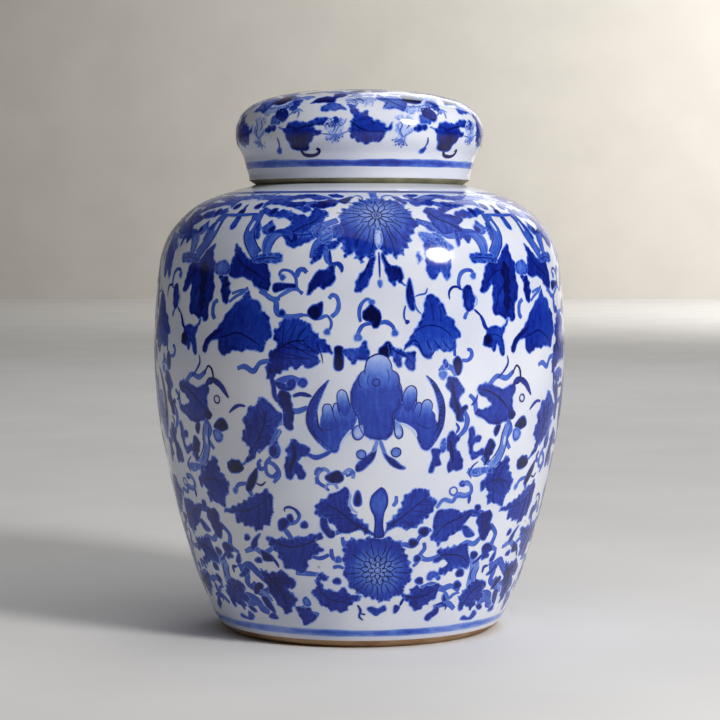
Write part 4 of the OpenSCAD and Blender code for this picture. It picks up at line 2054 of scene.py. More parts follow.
class LeftVine(Motif):
    """The vine to the left of the bat: a long leaf, dark leaves, a twig and an oval leaf."""

    name = "left_vine"
    drawing: ClassVar[Drawing] = (
        # The long leaf and the dark leaf above it.
        *ribbed(wash("-55.5 123.3, -58 121, -60 118.5, -63 118, -64 115, -65.5 112, -65 108, -66.5 104.5, "
                     "-65.5 101.5, -63 100, -62.5 96, -64.5 93, -67.5 90.8, -63 91.5, -60 94.5, -57 98, "
                     "-53 100, -50 104, -48 108, -46 111, -44.8 113.5, -46 115.5, -49 118.5, -52 120, "
                     "-53.5 122.5", 0.7, (-62, 100, -50, 118), 0.62, rim=0.2),
                     trace("-64 93.5, -59 101, -55 109, -53.5 117")),
        stroke("-56.5 106, -60 108.5, -63 109", 0.5), stroke("-55 110, -51 110, -48 112", 0.5),
        stroke("-64.5 118.5, -68 118.8, -71 117.5, -74 115", 1.8, Tone.FULL),
        wash("-46.5 126, -44 126.5, -42 125.5, -41 122, -40.3 118.5, -39.3 115.5, -40 112.5, -40 109, "
             "-42 108, -44 110, -45 113.5, -45 118, -47.3 120.5, -47.3 124", 0.86),
        wash("-49 130, -46 130.5, -43.5 129.5, -42 131.5, -39.5 132.3, -38.5 129.5, -40 127, -43 126.3, "
             "-46.5 127", 0.65, rim=0.2),
        wash("-38 129.5, -36.5 132.2, -34 132, -33 129.8, -35 127.8", Tone.MID),
        stroke("-40 124, -36 125, -31 124", 2.2, Tone.FULL),
        stroke("-51 134, -49.5 128, -49 124, -47.5 121", 2.6, Tone.FULL),
        # The cut leaf, the twig with its bud and the tendrils.
        wash("-41 103.5, -38.5 104, -36.5 101.5, -34 101.3, -32 99.5, -33 96.5, -35.5 95.5, -37.5 93.5, "
             "-36 91.5, -34 88, -34.3 85, -36.5 84.8, -38.5 87.5, -40.5 84.5, -43 86, -44 90, -43.5 94, "
             "-42.5 96.5, -43.5 99, -41.5 101", 0.72),
        stroke("-40 101.5, -39 96, -41 90, -41 86.5", 2.0, 0.94),
        stroke("-33 97, -29 95.5, -24.5 97, -21.5 99", 2.6, Tone.MID),
        wash("-46 108.5, -47.5 103, -46 98.5, -47 95, -49.5 94.3, -51.8 96.5, -51.8 100, -50 101.5, "
             "-48.5 104", Tone.SOFT, rim=0.22),
        spot(-49.6, 98, 1.8, 2.6, layer=Layer.OVER),
        vine("-51 95, -53.5 91.5, -53 87, -50 85.5, -47.5 88, -48 90.5", 1.7),
        vine("-53 90, -56.5 89, -57.5 92, -56 93.5", 1.8),
        wash("-58.5 89.3, -60.5 87.5, -63.5 83, -64.5 78.5, -62.5 77.5, -60 80.5, -58.3 85", 0.92),
        vine("-64 81.5, -69 80.5, -71 77.5", 1.8, 1.6), stroke("-59 82, -56 81, -53.5 83", 1.1),
        # The dark shapes at the panel's edge and the curls by the bat's foot.
        wash("-75.5 91, -72 92.5, -68 92, -66 89, -68.5 86.5, -73 86.5, -75.5 88.5", 0.95),
        wash("-24.5 86, -21 88.5, -18.5 89.3, -16.5 87.5, -16 85, -18.5 83.5, -22 83.5", 0.95),
        vine("-29 87, -28 90, -25.5 89.5", 1.5), vine("-28.8 86, -27 83, -24.5 81.5, -22.5 79.5", 1.5),
        vine("-15 87, -13 87.5, -12 89, -10.8 88", 1.4),
    )


class FanLeaves(Motif):
    """The three spread leaves at the lower left, with their tendrils."""

    name = "fan_leaves"
    drawing: ClassVar[Drawing] = (
        # The spread leaves with their veins.
        *ribbed(wash("-53 79, -57 77.2, -61 75.3, -66 72.5, -71 70, -78 67.3, -79 65.8, -76 66, -72 66.5, "
                     "-71.5 63.5, -70 61.8, -67 61.5, -64.5 60, -61.5 60.5, -59 58.3, -56.5 58.8, -54.5 61, "
                     "-52 62, -50.5 65, -50.3 69, -49.5 72.5, -50.3 75.5", 0.68, rim=0.18),
                     trace("-51 77, -56 72, -63 68.5, -72 67")),
        stroke("-54 75, -53 69, -54 63", 0.6), stroke("-57.5 71, -58 66, -60 61.5", 0.6),
        stroke("-62 69, -64 65.5, -67 62.5", 0.6),
        *ribbed(wash("-24.8 57, -26 58.5, -31 57.8, -36 56.5, -41 55.5, -46 55.3, -50.5 55, -52.5 56.2, "
                     "-53 54, -50.5 50.5, -48 48, -45.5 44, -43 40.5, -40 39.5, -36 38.5, -33 38.5, "
                     "-32.5 42, -31 45.5, -28 48, -25.3 49.5, -25.5 51.5, -28 53, -28.5 55", 0.68,
                     rim=0.18), trace("-26 56, -33 53, -41 51, -51 54")),
        stroke("-32 53, -35 47, -36 41", 0.6), stroke("-39 51.5, -41 46, -42 42", 0.6),
        stroke("-28 54.5, -30 50, -32 46", 0.6),
        *ribbed(wash("-57 38.5, -53 37, -49 37.5, -45.5 38.5, -42.5 37.5, -41 35, -38.5 34, -37.3 32, "
                     "-39 30.3, -41.5 29.8, -40.5 27.5, -38 25.5, -37.3 22.5, -39 20, -40.5 16.5, -42 15.3, "
                     "-44.5 17.5, -47 20.5, -50 24, -52 28, -54 31.5, -55.5 34.5", 0.74, rim=0.14),
                     trace("-55 37, -49 32, -44 25, -42 17")),
        stroke("-50 33, -46 34, -41 33", 0.6), stroke("-46.5 29, -42 27.5, -39 24", 0.6),
        # The tendrils, drops and small leaves around them.
        spot(-44.5, 62.5, 2.6, 3.5, -30), vine("-42.5 62.5, -38 64, -36.5 67, -38.5 70", 1.7),
        spot(-34, 62.5, 1.8), stroke("-37 65.5, -37.5 69, -41 71, -44 70.3, -43.5 68.5", 1.3, Tone.FULL),
        wash("-57 48.5, -53 47.5, -50 45.5, -49.5 43.5, -52 43, -55 43.5, -56 46", 0.86),
        stroke("-50.5 45.5, -48 42.5, -46.5 40", 1.6, Tone.FULL),
        wash("-37.5 20, -34 19.5, -31 19.8, -29 17.5, -27.3 15.8, -28 13, -30.5 11, -33 10, -34.5 12.5, "
             "-36 15.5", 0.75),
        wash("-34.5 24, -33 26, -31 24.5, -30 21.5, -31.5 20.3, -33.5 21", Tone.LIGHT, rim=0.3),
        wash("-60.5 25, -60.8 29.5, -58 31.3, -55.5 30, -57 26.5", 0.8),
        stroke("-57.5 27.5, -53 25, -50 22", 2.0, Tone.LIGHT),
        wash("-56.5 24, -54 19, -51 16.5, -48.5 15, -50 19, -53.5 24", 0.85),
        wash("-52.5 13, -50 15.5, -47 12.5, -50 12", Tone.FULL),
        wash("-56.8 57, -58.5 53.5, -58.8 50.5, -61.8 48, -62 51.5, -60.5 54", 0.8), spot(-64.5, 54.3, 1.6),
        *ribbed(wash("-26.5 38, -24 38.3, -22.5 36.5, -22.8 34.5, -25 35.2, -25.3 33, -23.5 30.5, -20 29.5, "
                     "-17 29.5, -14.5 30.8, -12.5 29, -9.5 27, -6 26.7, -8 24.5, -11 22.5, -13 19.5, "
                     "-14.5 17.8, -18 18.5, -21 19, -24 21, -27 24, -29.5 28, -28 32, -28 36", 0.72,
                     rim=0.16), trace("-27 33, -25 28, -20 24.5, -13 23.5")),
    )


class LowerVine(Motif):
    """The chained leaves and hooks at the lower right."""

    name = "lower_vine"

    def chain(self) -> list[Mark]:
        """Makes the larger leaves.

        Returns:
            The larger leaves.
        """
        return [
            wash("25.8 54.5, 27 60, 27 65.5, 30 69.3, 35 69.5, 38.5 69.3, 41.5 67.5, 45 68, 48.5 68, "
                 "46.5 64.5, 43.5 62, 43 59, 40 58.5, 38 56.5, 35.5 56, 34 54, 31 53, 29.5 51.3, 28.3 54",
                 0.68, rim=0.18),
            stroke("45 68, 50 67, 53 65", 1.6, Tone.FULL),
            stroke("28 56, 32 61, 38 64, 44 66", 0.8, Tone.INK), stroke("31 60, 31 64, 32 67.5", 0.6),
            stroke("36 63, 37.5 60, 37.5 58", 0.6),
            wash("42.5 60.5, 45 60.5, 48.5 57.5, 50 55.5, 47.5 54.5, 44.5 55, 43 57.5", 0.7),
            wash("52 66, 55 66.5, 59 67.5, 60.5 64, 60 60.5, 61 58, 59 55.5, 57.5 52.8, 54.5 52.5, 53 55.5, "
                 "52 59, 50.8 62", 0.78),
            *ribbed(wash("30 49.5, 36 50, 42 51.5, 46 52, 47 48, 46.8 45, 49 43, 48.5 40.5, 46 38.5, 42 39, "
                         "38.5 38.5, 34 36.5, 31 36, 30 37.5, 32.5 40, 36 42.5, 33 44, 30.5 43, 28.3 43.5, "
                         "28.5 45.5, 30.5 46.5", 0.66, rim=0.18), trace("31 46.5, 37 46.5, 43 45, 47 41.5")),
            stroke("38 46.5, 40 48.5, 43 50", 0.6), stroke("37 46, 36 42.5, 34 39", 0.6),
            wash("55.5 48.5, 58 50.3, 61.5 49.5, 63 46.8, 60.5 45.5, 58.5 43, 55.8 42, 56 45", 0.76),
            stroke("50 40.5, 54 43, 56 45", 1.8, Tone.FULL),
            wash("66 46, 63.5 44, 61.5 41, 62.5 40, 65 41.5", Tone.FULL),
            wash("60 33.5, 63 36, 66.5 39, 68.5 37.5, 66 34.8, 63 33.5", Tone.FULL),
            stroke("57 35, 58 38, 61 38.5", 1.8, Tone.FULL),
        ]

    def dabs(self) -> list[Mark]:
        """Makes the ink dabs and hooks.

        Returns:
            The ink dabs and hooks.
        """
        places = ((22.3, 59, 2.6), (17.2, 53.5, 2.4), (50.5, 45, 2.3), (42.7, 36.4, 2.4), (41.5, 30, 2.4),
                  (21, 34, 2.0))
        return [
            *(spot(x, y, r, r * 0.9) for x, y, r in places),
            wash("24.8 34.5, 25.5 37.8, 28.5 38.5, 31 37, 32 34.5, 30.5 33.5, 28.5 35.3, 26.8 33.8", 0.5),
            *ribbed(wash("11.5 28.5, 13.5 28, 16 26.5, 17 29.5, 19 31.5, 22 30.5, 26 31, 30 32.3, "
                         "31.5 30.5, 31 27, 29.5 24.5, 26.5 22, 23.5 20, 21 17.8, 18.5 19, 17 21.5, "
                         "15 23.5, 12.5 26", 0.7, rim=0.16), trace("14 26.5, 19 25, 25 26.5, 30 29.5")),
            stroke("32.5 28, 35 27, 37 23.5, 40 25.5, 43.5 26", 2.0, 0.45),
            stroke("30.5 20, 33 21, 36 19, 35.5 17", 1.4, Tone.FULL),
            wash("24.8 12.8, 25.5 15, 28.5 17, 30.5 19.5, 32 18.5, 31.5 15.5, 28.5 13.5, 26.5 11.8", 0.75),
            wash("9.5 21.5, 12 20.5, 11 18, 9.3 17", Tone.FULL), stroke("13.5 25, 12 21", 1.4, Tone.FULL),
        ]

    def foot(self) -> list[Mark]:
        """Makes the cut leaf by the foot and the strap above it.

        Returns:
            The cut leaf by the foot and the strap above it.
        """
        return [
            *ribbed(wash("43.5 23.5, 46 27, 48.5 29, 50 31.5, 54 32.3, 57 30.5, 60.5 29.8, 61 27.5, "
                         "58.5 26, 60 23, 58.5 20, 55 19.5, 54 17, 51 15.3, 49.5 17.5, 47.5 18.5, "
                         "46.5 16.3, 44.5 16, 43 18.5, 43.5 21", 0.7, rim=0.16),
                         trace("45 18, 49 23, 53 27, 58 28.5")),
            stroke("50 24.5, 54 23, 57 22.5", 0.6),
            stroke("51 31, 51 35, 53 38.5, 52.5 42", 3.4, Tone.LIGHT, (0.9, 0.9), Layer.WASH),
            stroke("49.4 32, 49.3 35.5, 51.2 39", 0.7), stroke("52.7 32, 53 35, 54.8 38.5", 0.7),
            wash("45.5 10.5, 47.5 12.5, 51 11, 54 14.5, 56.5 12.5, 54 10, 51 9.5", Tone.MID),
            wash("55.5 17, 58 18, 60 15.3, 57.5 14.5", 0.75),
        ]

    def marks(self) -> list[Mark]:
        """Returns the whole vine."""
        return [*self.chain(), *self.dabs(), *self.foot()]


class LowerLotus(Motif):
    """The lotus above the foot, with its club-shaped stem and two broad leaves."""

    name = "lower_lotus"

    def flower(self) -> list[Mark]:
        """Makes the flower with its petal lines and seed head.

        Returns:
            The flower with its petal lines and seed head.
        """
        middle = 40.0
        rays: list[Mark] = []
        for k in range(26):
            a = math.radians(k * 360 / 26)
            s, c = math.sin(a), math.cos(a)
            reach = (12.0, 15.5, 13.5)[k % 3]
            bend = 0.8 + 0.6 * math.sin(2 * k)
            rays.append(Line([(0.8 + 8 * s, middle + 8 * c), (bend + 11 * s, middle + 11 * c),
                              (0.8 + reach * s, middle + reach * c)], 0.5, Tone.INK, (0.9, 0.5)))
        return [
            wash("-2 56.5, -5 56.8, -7.5 55.5, -10 56, -12.5 56, -15 53, -15.3 48, -15 43, -14.5 38, "
                 "-13 34, -11 31, -8 28.5, -5 26.8, -2 26, 0 25, 2 23.8, 5 24, 8 25.5, 11 27, 13 28.5, "
                 "14.5 31.5, 16.5 35, 17 38.5, 16 42, 15 46, 13 49.5, 11.5 53.5, 8 55.5, 5 56.5", 0.66,
                 core=(0.8, middle, 14.0, 0.27), rim=0.2, ragged=1.0),
            *rays, *petals(0.8, middle, 2.2, 4.6, 8), *petals(0.8, middle, 4.8, 7.8, 13),
            ring(0.8, middle, 1.5, 0.5, Tone.INK),
        ]

    def leaves(self) -> list[Mark]:
        """Makes the stem and the two broad leaves.

        Returns:
            The stem and the two broad leaves.
        """
        return [
            *ribbed(wash("-2 57.5, -3.5 61, -6 64, -9.5 67, -12 69.5, -13.3 72.5, -13.5 76, -12.8 79, "
                         "-14.5 81, -17 80, -20 79, -23 76.5, -26 75, -28.5 72.5, -29 69.5, -27.5 67, "
                         "-24 66, -21 63.5, -18.5 61, -15 58.8, -12.5 58.6, -10.5 60.5, -7.5 60.2, "
                         "-4.5 58.5", 0.7, rim=0.16), trace("-4 60, -11 64, -18 70, -24 73")),
            stroke("-14 67, -15 72, -15.5 77", 0.6), stroke("-17 69, -21 67.5, -24 68", 0.6),
            stroke("-11 64, -13 61.5, -15 60.5", 0.6),
            *ribbed(wash("3.5 57.5, 4 62, 6 65, 9 68.5, 11 72, 12 76, 14.5 78.5, 17 79.5, 20 80.8, 23 79.5, "
                         "25 76.5, 27 75.5, 27.8 72, 26 69, 24.5 66.5, 22 65, 20 62.5, 17 61, 14 60.5, "
                         "10.5 61.5, 7.5 62, 5.5 60", 0.65, rim=0.18),
                         trace("5.5 62, 12 67, 18 72, 23.5 75.5")),
            stroke("15 69.5, 15.5 74, 17 77.5", 0.6), stroke("16 70, 20 69, 24 70.5", 0.6),
            stroke("11 66, 14 64, 18 63.5", 0.6),
            wash("-1.5 57, -1.3 62, -1.6 67, -3.2 70.5, -3.8 74, -2.8 77.5, 0 80.5, 1.5 81.5, 3.5 80, "
                 "4.8 76.5, 4.7 72.5, 3.2 68.5, 2.8 63, 3.2 57", 0.66, (0, 60, 0, 76), 0.52,
                 layer=Layer.OVER, rim=0.24),
        ]

    def sprigs(self) -> list[Mark]:
        """Makes the drops and twigs about the flower.

        Returns:
            The drops and twigs about the flower.
        """
        return [
            spot(-9.3, 75.5, 1.8, 3.8), stroke("-12.3 78, -13 74, -11.5 70.5, -9 69", 1.4, Tone.PALE),
            wash("-26 66.5, -26.3 62.5, -24.5 59, -22 56.5, -19.8 57, -19.5 59.5, -21.5 60.5, -22.8 62.5, "
                 "-23.5 66", 0.75),
            vine("-16 57, -15.5 54, -15 52", 1.7), vine("-21 51, -20.5 47, -18.5 45", 1.7),
            spot(-17.5, 45.5, 1.8, tone=Tone.SOFT), vine("-20 41.5, -17 42, -15 41", 1.7),
            spot(-18, 34.5, 2.0, 1.6), vine("8.5 77, 8.5 74, 7 72", 1.7),
            vine("22.5 53.5, 23 50.5, 20.5 47, 19.5 43.5, 17.5 41.5", 1.7), spot(19.5, 45.5, 1.8),
            wash("-3.5 20, -1.5 21, 1.5 20, 4.5 21.5, 5.5 19, 3 17.5, 1 15.8, -1 17", 0.65),
            stroke("-8 22, -6.5 19, -7 15.5, -5 13.5", 1.3, Tone.FULL), stroke("-6.8 17.5, -4 16.5", 1.1),
        ]

    def marks(self) -> list[Mark]:
        """Returns the flower, leaves and sprigs."""
        return [*self.leaves(), *self.flower(), *self.sprigs()]


class LidLeaves(Motif):
    """The two dark leaves low on the lid, with the curl under the first."""

    name = "lid_leaves"
    on_crown: ClassVar[bool] = False
    drawing: ClassVar[Drawing] = (
        wash("-47 25, -43 25, -41 27, -38 28, -34 27.5, -30 27.5, -27 29, -23 29.5, -19 29, -17 30, "
             "-15.5 29, -15.5 26, -17 24.5, -20 25, -23 25.5, -26 26, -28 25, -26 23.5, -24 23, -24 21.5, "
             "-27 21, -28.5 19, -30 17, -30 14.5, -32 13.5, -36 13.5, -39 15, -41 18, -43 21, -44 23.5",
             0.66, core=(-36, 17, 11.0, 0.97), rim=0.16),
        stroke("-34 13.8, -32.5 11.6, -30 10.9, -27 11, -24.9 12, -24.6 13.6, -26 14.4", 1.7, 0.9, (0.8,
               0.9)),
        stroke("-42 26, -37 24, -33 19, -32 15", 0.7, Tone.INK),
        stroke("-37 24, -31 25.5, -22 27", 0.7, Tone.INK),
        *ribbed(wash("-10.5 39, -7 39.5, -5.5 37.5, -7 34, -5 32, -3 33, -2 33, -1 31, 0 29, 3 28, 5.5 27, "
                     "7 25, 9.5 26, 10.5 27.5, 10 24.5, 8 23.5, 7 22, 6.5 20, 4 18.5, 1 17.5, -2 17, "
                     "-5 17.5, -8 19, -10 21, -10 25, -9 28, -8.5 31, -10 34, -11 36.5", 0.68, core=(-2,
                     19, 9.0, 0.84), rim=0.2), trace("-9.5 27.5, -5 24.2, 0 22.6, 6 22.8")),
        stroke("-4 24, -5 21, -6.5 19", 0.6), stroke("1 22.5, 1 20, 0 18", 0.6),
        stroke("-8 27, -4 28.5, 0 27", 0.6),
    )


class LidSprigs(Motif):
    """The fine pale sprigs and dark dabs between the lid's leaves."""

    name = "lid_sprigs"
    on_crown: ClassVar[bool] = False

    def fan(self, x: float, y: float, reach: float, lean: float) -> list[Mark]:
        """Returns a sprig's fan of fine strokes.

        Args:
            x: foot of the fan.
            y: foot of the fan.
            reach: length of its strokes.
            lean: direction of its middle stroke, in degrees.

        Returns:
            The strokes.
        """
        strokes: list[Mark] = []
        for k in range(-3, 4):
            a = math.radians(lean + k * 19)
            size = reach * (0.78 + 0.22 * (k % 2))
            end = (x + size * math.cos(a), y + size * math.sin(a))
            middle = ((x + end[0]) / 2 + 0.4, (y + end[1]) / 2 - 0.3)
            strokes.append(Line([(x, y), middle, end], 0.62, 0.36 if k % 2 else 0.5, (0.7, 0.6), blob=0.5))
        return strokes

    def marks(self) -> list[Mark]:
        """Makes the sprigs and dabs.

        Returns:
            The sprigs and dabs.
        """
        clouds = (
            trace("-21 28, -19 29.5, -16.5 28.5, -14 29.5, -12.5 27, -13.5 24.5, -13 21.5, -15 19.5, "
                  "-16 17.5, -18 18.5, -20 17.5, -21.5 19.5, -20.5 22, -22.5 24"),
            trace("12 30, 14 31.5, 16.5 30, 19 31, 21 28.5, 19.5 26, 20.5 23.5, 18 22, 17.5 19, "
                  "15.5 17, 13 16.5, 11.5 19, 12.5 21.5, 11 24, 12.8 27"),
        )
        dabs = ((-50.5, 25, 1.8), (-53, 24.6, 2.1), (-55.2, 24.3, 1.2), (-16.5, 28, 1.4))
        return [
            *(Wash(cloud, 0.15, ragged=0.9, rim=0.16) for cloud in clouds),
            stroke("13 29, 15 26, 14 23, 16 20", 0.8, Tone.SOFT), stroke("17 29, 18.5 26, 17 24", 0.6),
            stroke("-19 28, -17 25, -18.5 22", 0.8, Tone.SOFT), stroke("-15 28, -14.5 25", 0.6),
            stroke("-9.5 23.5, -13 22, -17 21.2, -20.5 21.5, -24 21.8", 0.8, Tone.LIGHT),
            *self.fan(-17.5, 22, 4.4, -80), stroke("-17 22, -15.2 25.5, -14 29.5", 0.8, Tone.LIGHT),
            stroke("-14.5 25, -12.5 26.8, -11.5 29", 0.7, Tone.LIGHT),
            stroke("12.5 26.3, 13.6 23, 15 20.3, 17 21.2, 19 22.2, 21 24", 0.8, Tone.LIGHT),
            *self.fan(14.8, 19.8, 4.6, -110), *(spot(x, y, r, r * 0.7, 20) for x, y, r in dabs),
            stroke("-48 20.5, -46.8 17, -47.3 14", 1.0, Tone.MID), spot(-46.8, 13.6, 1.5, tone=Tone.DEEP),
            wash("-49 33, -47 35, -44 35.5, -42 33.5, -41 31, -43 28.5, -47 28.5, -49.5 30.5", 0.78),
            stroke("-41 31, -38 33, -35 34.2, -33 33", 1.1, Tone.LIGHT),
            stroke("-36 29.5, -35.2 32, -36 35", 0.9, Tone.LIGHT), spot(-40, 38, 1.6, tone=Tone.LIGHT),
            stroke("-2.5 40, -1.5 37.5, -3 35", 0.8, Tone.PALE),
            stroke("0 41, 1.5 38, 0.5 35", 0.8, Tone.PALE),
        ]


class LidShoulder(Motif):
    """The leaves that run over the lid's shoulder towards the crown."""

    name = "lid_shoulder"
    on_crown: ClassVar[bool] = False
    drawing: ClassVar[Drawing] = (
        wash("-29 38, -26 41, -24 43.5, -20 45, -17 45, -16 47.5, -16 50, -11 50, -10.5 46, -13 44, "
             "-15.5 42, -17 39, -19 38, -22 38.5, -25 38.5", 0.78, core=(-22, 40, 8.0, 0.92)),
        wash("-24 34, -22 36.5, -20 38, -17 38, -14.5 37.5, -13 36, -11.5 33.5, -14 33.5, -17 33, -20 33, "
             "-23 32.5", Tone.SOFT, rim=0.28),
        wash("3 42, 4 47, 5 49, 7 45, 10 46, 13 46, 16 42, 18 38, 18 35, 16 33, 12 34, 8 34, 5.5 34, 7 37, "
             "6 39.5, 3.5 41", 0.46, rim=0.24),
        stroke("4.5 46, 8 41, 13 37, 17 34.5", 0.7), stroke("9 40.5, 8 37.5, 6.5 35", 0.5),
        wash("16 46, 18 49, 20 48.5, 23 47, 26 45, 28 43, 30 42, 26 40.5, 25.5 38.5, 21 38, 17 39, 16 42",
             0.9),
        wash("-38 32, -40 35, -40 39, -37 41.5, -33 42, -34 39, -36 36, -36.5 33", 0.62, rim=0.22),
        stroke("18 36, 22 35.5, 25 36.5", 1.0, Tone.LIGHT), stroke("-10 44, -6 45.5, -3 44", 1.2, Tone.MID),
        wash("-12 41, -9 43, -6 42, -4 44.5, -1 43, 1 45, 3 41, 1 38, -2 36.5, -5 38, -8 36.5, -11 38",
             0.17, ragged=0.8, rim=0.16),
        wash("18 35, 21 37, 24 36, 27 38, 30 36, 28 33, 25 32, 22 33, 20 31, 17 32", 0.2, ragged=0.8,
             rim=0.18),
        wash("-40 43, -37 46, -33 45.5, -30 47, -26 45.5, -28 43, -31 41.5, -34 43, -37 41", 0.34),
        wash("-8 46, -5 49, -2 48, 1 50, 3 47, 0 45.5, -3 46, -6 44.5", 0.6, ragged=0.6),
        wash("28 39, 31 41.5, 34 40, 36 37, 34 34, 31 35, 29 33.5", 0.66, ragged=0.6),
        wash("24 30, 27 32, 30 31, 31 27.5, 28 26.5, 25 27", 0.55, ragged=0.5),
        wash("-15 52, -11 54, -7 52.5, -4 49.5, -8 49, -12 50", 0.36, ragged=0.6),
        wash("10 51, 15 53, 20 51.5, 17 49, 12 48.5", 0.5, ragged=0.6),
        stroke("-11 40, -6 40.5, -1 40", 0.7, Tone.SOFT), stroke("-7 43, -4 41, -3 38", 0.6),
        wash("-8 55, -4.5 59, -1.5 59.5, -1 56.5, -3 53.5, -6 52.5", 0.84),
        wash("2 53.5, 5 58, 9 58.5, 11 55.5, 9 52.5, 5 52", 0.7),
        wash("-20 53.5, -16 57.5, -12 57, -12 54, -16 52.5", 0.62),
        wash("22 52.5, 24 57, 28 58, 30 55, 27 52", 0.8),
    )


class CrownLeaves(Motif):
    """The ring of scrolled leaves round the lid's crown."""

    name = "crown_leaves"
    on_crown: ClassVar[bool] = True
    drawing: ClassVar[Drawing] = (
        *ribbed(wash("-9 -30, -4 -33, 1 -32, 4 -34, 8 -31, 11 -27, 9 -24, 10 -21, 6 -20, 3 -22, 0 -20, "
                     "-3 -22.5, -6 -21, -8 -24.5, -11 -26", 0.7, rim=0.2),
                     trace("-9 -27.5, -3 -26.5, 3 -27.5, 9 -26")),
        stroke("-1 -27, -1.5 -24, -3 -22.8", 0.5), stroke("4 -27.3, 5.5 -24, 6 -21", 0.5),
        stroke("11 -24, 14 -20, 12.5 -16, 9 -16.5, 9.5 -19", 1.2, Tone.MID, blob=1.1),
        wash("-4 -17.5, -1 -19, 2 -18, 2.5 -15.5, 0 -14.5, -3.5 -15.3", Tone.DEEP),
        stroke("-14 -25, -13 -21, -9.5 -18, -6 -17.5", 1.0, Tone.MID),
    )


class CrownRose(Motif):
    """The small rosette at the middle of the crown."""

    name = "crown_rose"
    on_crown: ClassVar[bool] = True
    drawing: ClassVar[Drawing] = (
        wash("-3.9 -5.6, -5.2 -9, -3.2 -12, 0 -12.8, 3.2 -12, 5.2 -9, 3.9 -5.6, 0 -4.8", Tone.SOFT,
             (0, -5, 0, -12.5), Tone.FULL, rim=0.25),
        *[Line([(x * 0.5, -5.4), (x * 0.8, -8.2), (x, -11)], 0.45) for x in (-3, -1.5, 0, 1.5, 3)],
        ring(0, -2.6, 1.0, 0.5),
    )


